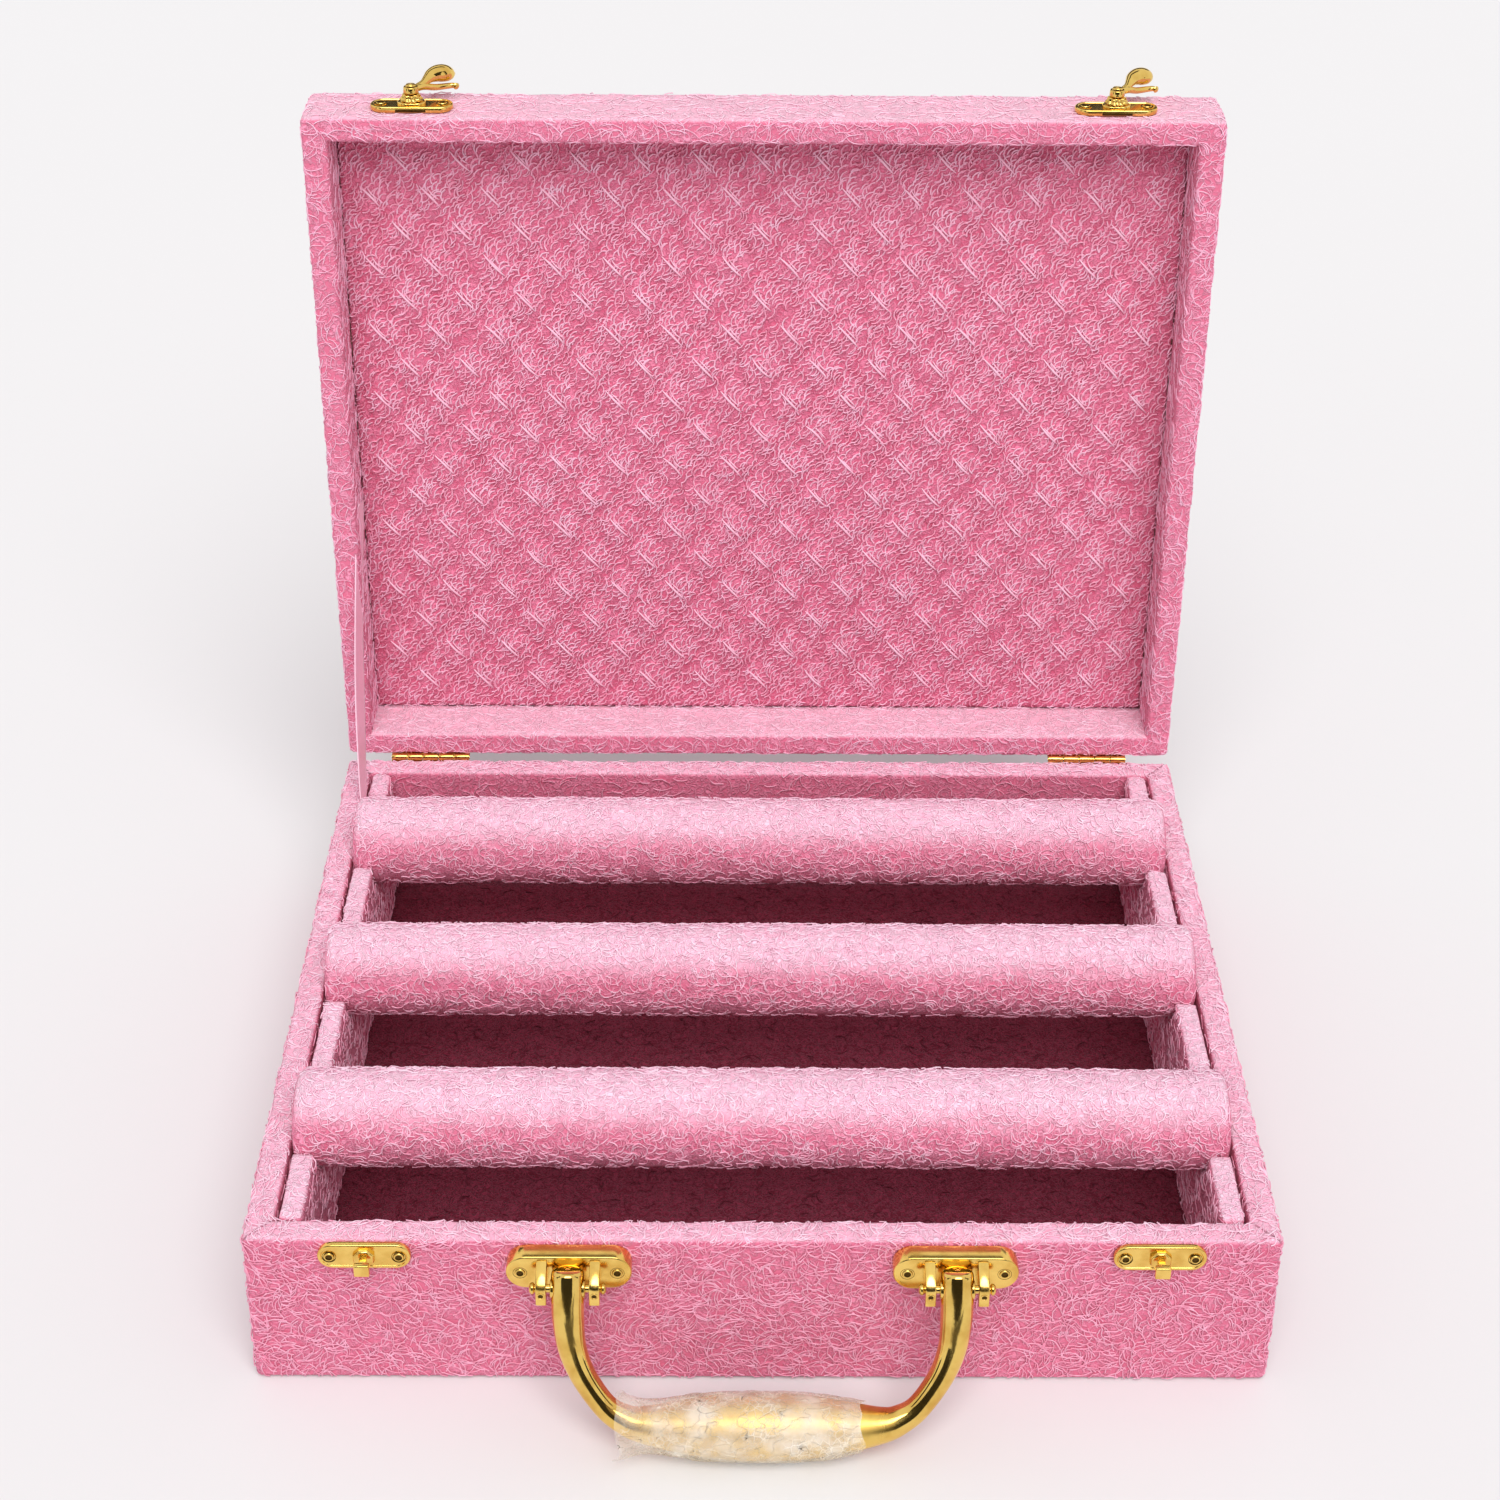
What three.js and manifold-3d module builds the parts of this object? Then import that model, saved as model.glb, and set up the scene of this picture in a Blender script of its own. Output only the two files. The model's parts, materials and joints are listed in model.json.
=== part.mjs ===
// Plush-covered bangle box: a shallow case with a hinged lid, three lift-out rolls and gilt fittings.
// Millimetres, +Z up. The origin is the centre of the underside and the front, with the handle, faces -Y.
// The lid stands open on its ribbon stay and the handle hangs forward onto the table.
import * as THREE from 'three';
import { mergeVertices } from 'three/addons/utils/BufferGeometryUtils.js';
import Module from 'manifold-3d';

const wasm = await Module();
wasm.setup();

// Overall sizes of the case
const case_width = 305;
const case_depth = 250;
const base_height = 56;
const lid_height = 25;
const lid_open_angle = THREE.MathUtils.degToRad(90);

// Clearances
const fit_gap = 0.3; // between pieces that seat on each other
const rim_gap = 1; // between the two plush rims when the lid is shut
const overrun = 1; // how far a cutting solid passes what it cuts
const weld = 1e-4;

// Walls: board between an outer and an inner plush skin
const skin = 1.2;
const board = 5.5;
const bottom_board = 4;
const lid_panel_board = 2.4;
const floor_lining = 2;
const rim_radius = 1.5;
const corner_radius = 1.8;
const inner_corner_radius = 0.3;
const hem_width = 10;
const hem_lift = 0.3; // the underside cover stands this much lower than the turned-in hem

// Lid lining: quilted diamonds
const lining_base = 1;
const lining_relief = 1;
const diamond_width = 21.5;
const diamond_length = 25;

// Rolls and the notched rests that carry them
const roll_radius = 15;
const roll_wall_gap = 28.6; // free space between an outer roll and the wall beside it
const roll_rise = 1; // roll axis above the rim
const roll_edge_radius = 2;
const roll_end_hole_radius = 6;
const rest_thickness = 7;

// Ribbon stay
const stay_width = 12;
const stay_thickness = 0.6;
const stay_from_back = 28;
const stay_tuck = 10; // length hidden in the groove, measured in height
const stay_lid_depth = 12.5; // from the lid's rim plane
const stay_lid_reach = 101; // from the hinge line along the lid

// Hinges
const hinge_from_side = 30.1;
const hinge_length = 29;
const hinge_knuckles = 5;
const leaf_thickness = 0.8;
const leaf_height = 13;
const barrel_radius = 1.4;
const barrel_bore_radius = 0.9;
const hinge_pin_radius = 0.55;

// Latches and keepers, measured outwards from the front face
const latch_from_side = 36;
const latch_plate_length = 27.4;
const latch_plate_width = 9;
const latch_plate_thickness = 2;
const plate_edge = 0.4; // bevel round a small plate
const latch_above_rim = 8.8;
const keeper_below_rim = 4.6;
const latch_screw_spacing = 20.4;
const bridge_length = 11;
const bridge_width = 6.4;
const bridge_height = 0.8;
const collar_radius = 3.2;
const collar_height = 2.2;
// Shares of the collar's radius and height
const collar_shares = [[0, 0], [1, 0], [1, 0.3], [0.72, 0.5], [0.84, 0.72], [0.65, 1]];
const post_radius = 1.1;
const post_cap_radius = 1.8;
const post_cap_height = 0.8;
const post_cap_shares = [[1, 0], [0.85, 0.7], [0, 1]]; // of its radius and height
const hub_radius = 2.3;
const hub_height = 2;
const stud_collar_radius = 3.4;
const stud_collar_top_share = 0.86; // of the collar's radius, at its top
const stud_collar_height = 1.3;
const stud_neck = 2.2; // side of the square neck
const stud_neck_height = 2.6;
const stud_head = 3.4; // side of the square head
const stud_head_height = 2.2;
const finger_radius = 0.8;
const finger_ball_radius = 1;
const finger_shares = [[0.1, 0, 1], [0.33, 0.3, 1], [0.66, 0.86, 0.2], [1, 1, 0]]; // of reach, bow and height
const ball_turn_share = 0.74; // of the bow, where the finger turns in to its ball
const ball_side_share = 0.4; // of the ball's radius, beside the line from post to stud
const lobe_radius = 3.1;
const lobe_shares = [
  [0, 0], [0.24, 0.015], [0.3, 0.2], [0.4, 0.4], [0.66, 0.55], [0.92, 0.68], [1, 0.79], [0.94, 0.87],
  [0.72, 0.95], [0.4, 0.99], [0, 1],
]; // of its radius and its length, from the root to the tip
const lobe_root = 1.5;
const lobe_root_side = 0.8;
const lobe_reach = 17.6;
const lobe_side = 5.7;
const lobe_lift = 1.2; // lobe axis above the middle of the hub
const latch_rest_angle = THREE.MathUtils.degToRad(30);

// Handle mounts, pins and handle
const mount_x = 56.5;
const mount_length = 36.8;
const mount_width = 12;
const mount_thickness = 5.7;
const mount_edge = 0.8; // bevel round the mount plate
const mount_below_rim = 7;
const mount_screw_spacing = 28.4;
const pin_below_rim = 7.8;
const pin_stand_off = 11.3; // pin axis in front of the face
const ear_gap = 12.2;
const ear_thickness = 3.1;
const ear_radius = 3.7;
const ear_root = 4.9; // top of the ears above the middle of the plate
const ear_lip = 0.3; // how far they stand out of the plate there
const ear_sink = 1.6; // how deep they sit in the plate
const handle_pin_radius = 1.4;
const handle_pin_head_radius = 1.9;
const handle_pin_head_height = 0.9;
const pin_head_shares = [[1, 0], [1, 0.4], [0.6, 1], [0, 1]]; // of its radius and height
const eye_radius = 5;
const eye_width = 9.6;
const handle_reach = 41.4; // pin axis to the middle of the grip
const arm_top_radius = 4.5;
const arm_radius = 4;
const neck_radius = 5.2;
const swell_radius = 7.4;
const shoulder_radius = 9.1;
const grip_radius = 9.6;
const film_thickness = 0.35;
const film_left = 42;
const film_left_radius = 9.3;
const film_waist = 33; // where the film is closest to the grip's left neck
const film_waist_radius = 7.4;
const film_swell_left = 17.5;
const film_swell_right = 14.7;
const film_swell_share = 0.94; // of the film's radius at the middle
const film_right = 29;
const film_right_radius = 7.6;
const table_clearance = 0.1;

// Screws
const screw_radius = 0.9;
const screw_head_radius = 2.1;
const screw_head_height = 1;
const screw_head_shares = [[1, 0], [1, 0.5], [0.75, 0.9]]; // of its radius and height
const screw_bite = 3.5; // length of thread in the board
const screw_recess_radius = 0.6;
const screw_recess_depth = 0.6;

// Number of facets
const round_sides = 24;
const small_sides = 12;
const hidden_sides = 8;
const corner_steps = 3;
const plate_end_steps = 8;
const notch_steps = 14;
const bow_steps = 44;
const finger_steps = 16;
const finger_sides = 4;

// Sizes that follow from the ones above
const wall = board + 2 * (skin + fit_gap);
const half_width = case_width / 2;
const half_depth = case_depth / 2;
const inner_half_x = half_width - wall;
const inner_half_y = half_depth - wall;
const board_inset = skin + fit_gap;
const bottom_board_z = hem_lift + skin + fit_gap;
const floor_lining_z = bottom_board_z + bottom_board + fit_gap;
const cavity_floor_z = floor_lining_z + floor_lining;
const groove = stay_thickness + 2 * fit_gap;
const lid_rim_z = base_height + rim_gap;
const lid_top_z = lid_rim_z + lid_height;
const lid_board_z = lid_top_z - board_inset - lid_panel_board;
const hinge_x = half_width - hinge_from_side;
const hinge_y = half_depth + fit_gap + leaf_thickness;
const hinge_z = base_height + rim_gap / 2;
const roll_pitch = inner_half_y - roll_wall_gap - roll_radius;
const roll_z = base_height + roll_rise;
const roll_half = inner_half_x - fit_gap;
const film_radius = grip_radius + fit_gap + film_thickness;
const latch_x = half_width - latch_from_side;
const stay_base_y = half_depth - stay_from_back;
const pin_z = base_height - pin_below_rim;
// The grip lies on the table, and a handle too short to touch it hangs plumb
const grip_drop = Math.min(pin_z - film_radius - table_clearance, handle_reach);
const handle_hang = Math.acos(grip_drop / handle_reach);
const post_to_stud = latch_above_rim + rim_gap + keeper_below_rim;

// Finishes
const plush = new THREE.MeshStandardMaterial({ color: 0xe87fa4, roughness: 0.95 });
const pale_plush = new THREE.MeshStandardMaterial({ color: 0xf5b0cb, roughness: 0.95 });
const card = new THREE.MeshStandardMaterial({ color: 0x9b7a5a, roughness: 0.9 });
const cover_cloth = new THREE.MeshStandardMaterial({ color: 0xd97c9d, roughness: 0.9 });
const foam = new THREE.MeshStandardMaterial({ color: 0xf3ead8, roughness: 0.9 });
const satin = new THREE.MeshStandardMaterial({ color: 0xf7a3c2, roughness: 0.45 });
const gilt = new THREE.MeshStandardMaterial({ color: 0xe8c34a, roughness: 0.15, metalness: 1 });
const clear_film = new THREE.MeshStandardMaterial({ color: 0xe9e4e4, roughness: 0.5 });

const model = new THREE.Group();

// A closed mesh as a solid, with shared corners and no empty triangles
function solid(geometry) {
  const bare = new THREE.BufferGeometry();
  bare.setAttribute('position', geometry.attributes.position);
  if (geometry.index) bare.setIndex(geometry.index);
  const merged = mergeVertices(bare, weld);
  const corners = merged.index.array;
  const kept = [];
  for (let i = 0; i < corners.length; i += 3) {
    const [a, b, c] = [corners[i], corners[i + 1], corners[i + 2]];
    if (a !== b && b !== c && c !== a) kept.push(a, b, c);
  }
  const vertProperties = new Float32Array(merged.attributes.position.array);
  const triVerts = new Uint32Array(kept);
  return new wasm.Manifold(new wasm.Mesh({ numProp: 3, vertProperties, triVerts }));
}

function geometryOf(manifold) {
  const mesh = manifold.getMesh();
  const geometry = new THREE.BufferGeometry();
  geometry.setAttribute('position', new THREE.BufferAttribute(mesh.vertProperties, 3));
  geometry.setIndex(new THREE.BufferAttribute(mesh.triVerts, 1));
  return geometry;
}

function joined(...geometries) {
  return geometryOf(geometries.map(solid).reduce((sum, next) => sum.add(next)));
}

function cutFrom(geometry, ...cutters) {
  return geometryOf(cutters.map(solid).reduce((rest, next) => rest.subtract(next), solid(geometry)));
}

// Adds a named piece to a group
function piece(name, geometry, finish, parent = model) {
  const clean = geometryOf(solid(geometry)).toNonIndexed();
  clean.computeVertexNormals();
  const mesh = new THREE.Mesh(clean, finish);
  mesh.name = name;
  parent.add(mesh);
  return mesh;
}

// A box between two corners
function block([x0, x1], [y0, y1], [z0, z1]) {
  const box = new THREE.BoxGeometry(x1 - x0, y1 - y0, z1 - z0);
  return box.translate((x0 + x1) / 2, (y0 + y1) / 2, (z0 + z1) / 2);
}

const both = (half) => [-half, half];

// A rod along an axis between two places on it
function rod(axis, radius, from, to, sides) {
  const geometry = new THREE.CylinderGeometry(radius, radius, to - from, sides);
  geometry.translate(0, (from + to) / 2, 0);
  if (axis === 'x') geometry.rotateZ(-Math.PI / 2);
  if (axis === 'z') geometry.rotateX(Math.PI / 2);
  return geometry;
}

// A turned piece: profile points are [radius, height] and its axis is Z
function turned(profile, sides) {
  const points = profile.map(([r, h]) => new THREE.Vector2(r, h));
  return new THREE.LatheGeometry(points, sides).rotateX(Math.PI / 2);
}

// A bevelled plate with round ends, lying on height `from`, long side along X
function roundEndPlate(length, width, thickness, edge, from) {
  const shape = new THREE.Shape();
  const end = (length - width) / 2;
  const radius = width / 2 - edge;
  shape.absarc(end, 0, radius, -Math.PI / 2, Math.PI / 2);
  shape.absarc(-end, 0, radius, Math.PI / 2, 1.5 * Math.PI);
  const geometry = new THREE.ExtrudeGeometry(shape, {
    depth: thickness - 2 * edge, bevelEnabled: true, bevelThickness: edge, bevelSize: edge,
    bevelSegments: 1, curveSegments: plate_end_steps,
  });
  return geometry.translate(0, 0, from + edge);
}

// Closed solid from rings of equal length, each ring joined to the next and the last to the first
function ringStack(rings) {
  const size = rings[0].length;
  const index = [];
  for (let r = 0; r < rings.length; r += 1) {
    const next = (r + 1) % rings.length;
    for (let i = 0; i < size; i += 1) {
      const j = (i + 1) % size;
      const [a, b, c, d] = [r * size + i, r * size + j, next * size + j, next * size + i];
      index.push(a, b, c, a, c, d);
    }
  }
  const geometry = new THREE.BufferGeometry();
  geometry.setAttribute('position', new THREE.Float32BufferAttribute(rings.flat(2), 3));
  geometry.setIndex(index);
  return geometry;
}

// One level ring round the case: its outline drawn in by inset, at height z
function caseRing(inset, radius, z) {
  const [x, y] = [half_width - inset - radius, half_depth - inset - radius];
  const corners = [[x, y, 0], [-x, y, 1], [-x, -y, 2], [x, -y, 3]];
  return corners.flatMap(([cx, cy, quarter]) => Array.from({ length: corner_steps + 1 }, (_, i) => {
    const angle = (quarter + i / corner_steps) * Math.PI / 2;
    return [cx + radius * Math.cos(angle), cy + radius * Math.sin(angle), z];
  }));
}

// Plush skin over the four walls. It turns under at the foot, rounds over the rim and goes down inside.
// Heights count from the foot, and place turns them into Z.
function wallSkin(height, foot, inside, place) {
  const outer = (inset, z) => caseRing(inset, Math.max(corner_radius - inset, inner_corner_radius), place(z));
  const inner = (inset, z) => caseRing(inset, inner_corner_radius, place(z));
  const arc = (inset, z, start) => Array.from({ length: corner_steps + 1 }, (_, i) => {
    const angle = start - i / corner_steps * Math.PI / 2;
    return outer(inset + rim_radius * Math.cos(angle), z + rim_radius * Math.sin(angle));
  });
  const rings = [
    outer(hem_width, foot),
    ...arc(rim_radius, foot + rim_radius, 1.5 * Math.PI),
    ...arc(rim_radius, height - rim_radius, Math.PI),
    ...arc(wall - rim_radius, height - rim_radius, Math.PI / 2),
    inner(wall, inside),
    inner(wall - skin, inside),
    inner(wall - skin, height - skin),
    inner(skin, height - skin),
    inner(skin, foot + skin),
    inner(hem_width, foot + skin),
  ];
  const geometry = ringStack(rings);
  return place(1) > place(0) ? geometry : turnedInsideOut(geometry);
}

function turnedInsideOut(geometry) {
  const index = Array.from(geometry.index.array);
  for (let i = 0; i < index.length; i += 3) [index[i], index[i + 1]] = [index[i + 1], index[i]];
  geometry.setIndex(index);
  return geometry;
}

// Fittings on the front face are made flat, +Z outwards and +Y up the face
function frontGroup(parent, x, z) {
  const group = new THREE.Group();
  group.position.set(x, -half_depth, z);
  group.rotation.x = Math.PI / 2;
  parent.add(group);
  return group;
}

const screwPlaces = (centre, spacing) => [centre - spacing / 2, centre + spacing / 2];

// Holes in a front board or its skin for the screws of the fittings, from the face inwards
function screwHoles(places, z, depth) {
  const radius = screw_radius + fit_gap;
  const y = -half_depth;
  return places.map((x) => rod('y', radius, y - overrun, y + depth, hidden_sides).translate(x, 0, z));
}

// A domed screw with a small drive recess, its head seated at height `seat` above the face
function screw(seat) {
  const tip = -(board_inset + screw_bite);
  const head = seat + fit_gap / 3;
  const profile = [
    [0, tip], [screw_radius, tip + screw_radius], [screw_radius, head],
    ...screw_head_shares.map(([r, h]) => [r * screw_head_radius, head + h * screw_head_height]),
    [screw_recess_radius, head + screw_head_height],
    [screw_recess_radius, head + screw_head_height - screw_recess_depth],
    [0, head + screw_head_height - screw_recess_depth],
  ];
  return turned(profile, small_sides);
}

function plateWithHoles(plate, spacing, thickness) {
  const radius = screw_radius + fit_gap;
  const hole = (x) => rod('z', radius, -overrun, thickness + overrun, small_sides).translate(x, 0, 0);
  return cutFrom(plate, ...screwPlaces(0, spacing).map(hole));
}

// Base: boards
function latchPlate() {
  return roundEndPlate(latch_plate_length, latch_plate_width, latch_plate_thickness, plate_edge, fit_gap);
}

const all_latch_screws = [-latch_x, latch_x].flatMap((x) => screwPlaces(x, latch_screw_spacing));
const all_mount_screws = [-mount_x, mount_x].flatMap((x) => screwPlaces(x, mount_screw_spacing));
const keeper_z = base_height - keeper_below_rim;
const mount_z = base_height - mount_below_rim;
const hole_depth = board_inset + screw_bite + fit_gap;

function wallBoards(prefix, z_range, parent, front_holes) {
  const outer_x = half_width - board_inset;
  const outer_y = half_depth - board_inset;
  const inner_x = outer_x - board;
  const inner_y = outer_y - board;
  const side_y = both(inner_y - fit_gap);
  const front = block(both(outer_x), [-outer_y, -inner_y], z_range);
  piece(`${prefix}_board_front`, cutFrom(front, ...front_holes), card, parent);
  piece(`${prefix}_board_back`, block(both(outer_x), [inner_y, outer_y], z_range), card, parent);
  piece(`${prefix}_board_left`, block([-outer_x, -inner_x], side_y, z_range), card, parent);
  piece(`${prefix}_board_right`, block([inner_x, outer_x], side_y, z_range), card, parent);
}

function baseCase() {
  const holes = [
    ...screwHoles(all_latch_screws, keeper_z, hole_depth),
    ...screwHoles(all_mount_screws, mount_z, hole_depth),
  ];
  const top = base_height - board_inset;
  const floor_x = half_width - board_inset - board - fit_gap;
  const floor_y = half_depth - board_inset - board - fit_gap;
  wallBoards('base', [bottom_board_z, top], model, holes);
  const bottom_z = [bottom_board_z, bottom_board_z + bottom_board];
  piece('base_board_bottom', block(both(floor_x), both(floor_y), bottom_z), card);

  const skin_holes = [
    ...screwHoles(all_latch_screws, keeper_z, board_inset),
    ...screwHoles(all_mount_screws, mount_z, board_inset),
  ];
  const wrap = wallSkin(base_height, hem_lift, floor_lining_z, (z) => z);
  piece('base_wrap', cutFrom(wrap, ...skin_holes), plush);

  const cover_x = half_width - hem_width - fit_gap;
  const cover_y = half_depth - hem_width - fit_gap;
  piece('base_underside_cover', block(both(cover_x), both(cover_y), [0, hem_lift + skin]), cover_cloth);
  const lining_z = [floor_lining_z, cavity_floor_z];
  const lining = block(both(inner_half_x - fit_gap), both(inner_half_y - fit_gap), lining_z);
  piece('base_floor_lining', lining, pale_plush);
}

// Notched rest along one side wall, carrying the ends of the rolls
function rollRest(side) {
  const half = inner_half_y - fit_gap;
  const foot = cavity_floor_z + fit_gap;
  const radius = roll_radius + fit_gap;
  const drop = base_height - roll_z;
  const dip = Math.asin(drop / radius);
  const shape = new THREE.Shape();
  shape.moveTo(-half, foot);
  shape.lineTo(half, foot);
  shape.lineTo(half, base_height);
  for (const y of [roll_pitch, 0, -roll_pitch]) {
    shape.absarc(y, roll_z, radius, dip, -Math.PI - dip, true);
  }
  shape.lineTo(-half, base_height);
  shape.closePath();
  const geometry = new THREE.ExtrudeGeometry(shape, {
    depth: rest_thickness, bevelEnabled: false, curveSegments: notch_steps,
  });
  const outer_face = inner_half_x - groove;
  geometry.rotateX(Math.PI / 2).rotateZ(Math.PI / 2);
  geometry.translate(side < 0 ? -outer_face : outer_face - rest_thickness, 0, 0);
  return geometry;
}

function rollRests() {
  piece('roll_rest_left', rollRest(-1), pale_plush);
  piece('roll_rest_right', rollRest(1), pale_plush);
}

// A foam roll in a plush sleeve whose ends turn in over the foam
function roll(name, y) {
  const r = roll_radius;
  const e = roll_edge_radius;
  const core_radius = r - skin - fit_gap;
  const core_half = roll_half - skin - fit_gap;
  const bevel = e - skin + fit_gap;
  const sleeve = [
    [roll_end_hole_radius, -roll_half], [r - e, -roll_half], [r, -roll_half + e], [r, roll_half - e],
    [r - e, roll_half], [roll_end_hole_radius, roll_half], [roll_end_hole_radius, roll_half - skin],
    [r - skin - bevel, roll_half - skin], [r - skin, roll_half - skin - bevel],
    [r - skin, -roll_half + skin + bevel], [r - skin - bevel, -roll_half + skin],
    [roll_end_hole_radius, -roll_half + skin], [roll_end_hole_radius, -roll_half],
  ];
  const core = [
    [0, -core_half], [core_radius - bevel, -core_half], [core_radius, -core_half + bevel],
    [core_radius, core_half - bevel], [core_radius - bevel, core_half], [0, core_half],
  ];
  const place = (geometry) => geometry.rotateY(Math.PI / 2).translate(0, y, roll_z);
  piece(`${name}_core`, place(turned(core, round_sides)), foam);
  piece(`${name}_cover`, place(turned(sleeve, round_sides)), pale_plush);
}

function rolls() {
  roll('roll_back', roll_pitch);
  roll('roll_middle', 0);
  roll('roll_front', -roll_pitch);
}

// Keeper on the base: plate with a collared square stud
function keeper(side) {
  const name = side < 0 ? 'left' : 'right';
  const group = frontGroup(model, side * latch_x, keeper_z);
  const top = fit_gap + latch_plate_thickness;
  const neck_z = top + stud_collar_height;
  const head_z = neck_z + stud_neck_height;
  const plate = latchPlate();
  const collar_top_radius = stud_collar_radius * stud_collar_top_share;
  const collar = turned([
    [0, fit_gap], [stud_collar_radius, fit_gap], [stud_collar_radius, top],
    [collar_top_radius, neck_z], [0, neck_z],
  ], hidden_sides).rotateZ(Math.PI / hidden_sides);
  const neck = block(both(stud_neck / 2), both(stud_neck / 2), [top, head_z + stud_head_height / 2]);
  const head = new THREE.ExtrudeGeometry(squareShape(stud_head - 2 * plate_edge), {
    depth: stud_head_height - 2 * plate_edge, bevelEnabled: true, bevelThickness: plate_edge,
    bevelSize: plate_edge, bevelSegments: 1,
  }).translate(0, 0, head_z + plate_edge);
  const body = joined(plateWithHoles(plate, latch_screw_spacing, top), collar, neck, head);
  piece(`keeper_${name}`, body, gilt, group);
  screwPlaces(0, latch_screw_spacing).forEach((x, i) => {
    const mesh = piece(`keeper_${name}_screw_${i + 1}`, screw(top), gilt, group);
    mesh.position.x = x;
  });
}

function squareShape(side) {
  const half = side / 2;
  const shape = new THREE.Shape();
  shape.moveTo(-half, -half);
  shape.lineTo(half, -half);
  shape.lineTo(half, half);
  shape.lineTo(-half, half);
  shape.closePath();
  return shape;
}

// Handle mount: thick plate with two ears and a pin across them
function handleMount(side) {
  const name = side < 0 ? 'left' : 'right';
  const group = frontGroup(model, side * mount_x, mount_z);
  const top = fit_gap + mount_thickness;
  const pin_y = mount_below_rim - pin_below_rim;
  const inner = ear_gap / 2;
  const outer = inner + ear_thickness;
  const side_face = new THREE.Shape();
  side_face.moveTo(ear_root, top - ear_sink);
  side_face.lineTo(ear_root, top + ear_lip);
  side_face.lineTo(pin_y + ear_radius * Math.SQRT1_2, pin_stand_off + ear_radius * Math.SQRT1_2);
  side_face.lineTo(pin_y - ear_radius, pin_stand_off);
  side_face.lineTo(pin_y - ear_radius, top - ear_sink);
  side_face.closePath();
  const ears = [-outer, inner].flatMap((x) => {
    const web = new THREE.ExtrudeGeometry(side_face, { depth: ear_thickness, bevelEnabled: false });
    web.rotateX(Math.PI / 2).rotateZ(Math.PI / 2).translate(x, 0, 0);
    const boss = rod('x', ear_radius, x, x + ear_thickness, round_sides).translate(0, pin_y, pin_stand_off);
    return [web, boss];
  });
  const plate = roundEndPlate(mount_length, mount_width, mount_thickness, mount_edge, fit_gap);
  const bore = rod('x', handle_pin_radius + fit_gap, -outer - overrun, outer + overrun, small_sides);
  bore.translate(0, pin_y, pin_stand_off);
  const body = joined(plateWithHoles(plate, mount_screw_spacing, top), ...ears);
  piece(`handle_mount_${name}`, cutFrom(body, bore), gilt, group);

  const head = pin_head_shares.map(([r, h]) => [
    r * handle_pin_head_radius, outer + fit_gap + h * handle_pin_head_height,
  ]);
  const neck = [handle_pin_radius, outer + fit_gap];
  const upper = [neck, ...head];
  const lower = upper.map(([r, h]) => [r, -h]).reverse();
  const pin = turned([...lower, ...upper], small_sides).rotateY(Math.PI / 2);
  pin.translate(0, pin_y, pin_stand_off);
  piece(`handle_pin_${name}`, pin, gilt, group);
  screwPlaces(0, mount_screw_spacing).forEach((x, i) => {
    const mesh = piece(`handle_mount_${name}_screw_${i + 1}`, screw(top), gilt, group);
    mesh.position.x = x;
  });
}

// Carrying handle: made hanging straight down from the pin axis, then swung forward onto the table
function handle() {
  const group = new THREE.Group();
  group.position.set(0, -half_depth - pin_stand_off, pin_z);
  group.rotation.x = -handle_hang;
  model.add(group);

  // Shares of the mount spacing and of the reach, with the section radius at each place
  const bow_shares = [
    [1, 0.03, arm_top_radius], [1, 0.2, arm_top_radius], [0.995, 0.42, arm_radius], [0.93, 0.63, arm_radius],
    [0.81, 0.85, arm_radius], [0.72, 0.94, arm_radius], [0.62, 0.985, neck_radius], [0.42, 1, swell_radius],
    [0.2, 1, shoulder_radius],
  ];
  const left = bow_shares.map(([x, s, r]) => [-x * mount_x, -s * handle_reach, r]);
  const right = bow_shares.map(([x, s, r]) => [x * mount_x, -s * handle_reach, r]).reverse();
  const stations = [...left, [0, -handle_reach, grip_radius], ...right];
  const line = new THREE.CatmullRomCurve3(stations.map(([x, z]) => new THREE.Vector3(x, 0, z)));
  const girth = new THREE.CatmullRomCurve3(stations.map(([, , r], i) => new THREE.Vector3(i, 0, r)));
  const rings = Array.from({ length: bow_steps + 1 }, (_, i) => {
    const at = line.getPoint(i / bow_steps);
    const along = line.getTangent(i / bow_steps);
    const radius = girth.getPoint(i / bow_steps).z;
    return Array.from({ length: small_sides }, (__, k) => {
      const angle = k / small_sides * 2 * Math.PI;
      const side = radius * Math.cos(angle);
      return [at.x + along.z * side, radius * Math.sin(angle), at.z - along.x * side];
    });
  });
  const eye_x = both(eye_width / 2);
  const eye = (side) => rod('x', eye_radius, ...eye_x, round_sides).translate(side * mount_x, 0, 0);
  const bore = rod('x', handle_pin_radius + fit_gap, -mount_x - eye_width, mount_x + eye_width, small_sides);
  const bow = joined(capped(rings), eye(-1), eye(1));
  piece('handle_bow', cutFrom(bow, bore), gilt, group);

  // Protective film round the grip, as [distance from the middle, radius]
  const film_swell_radius = film_radius * film_swell_share;
  const film_line = [
    [-film_left, film_left_radius], [-film_waist, film_waist_radius], [-film_swell_left, film_swell_radius],
    [0, film_radius], [film_swell_right, film_swell_radius], [film_right, film_right_radius],
  ];
  const outside = film_line.map(([x, r]) => [r, x]);
  const inside = film_line.map(([x, r]) => [r - film_thickness, x]).reverse();
  const film = turned([...outside, ...inside, outside[0]], round_sides).rotateY(Math.PI / 2);
  piece('grip_film', film.translate(0, 0, -handle_reach), clear_film, group);
}

// Closes the two ends of a stack of rings
function capped(rings) {
  const size = rings[0].length;
  const tube = ringStack(rings);
  const index = Array.from(tube.index.array).slice(0, (rings.length - 1) * size * 6);
  const last = (rings.length - 1) * size;
  for (let i = 1; i < size - 1; i += 1) {
    index.push(0, i + 1, i);
    index.push(last, last + i, last + i + 1);
  }
  tube.setIndex(index);
  return tube;
}

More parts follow.
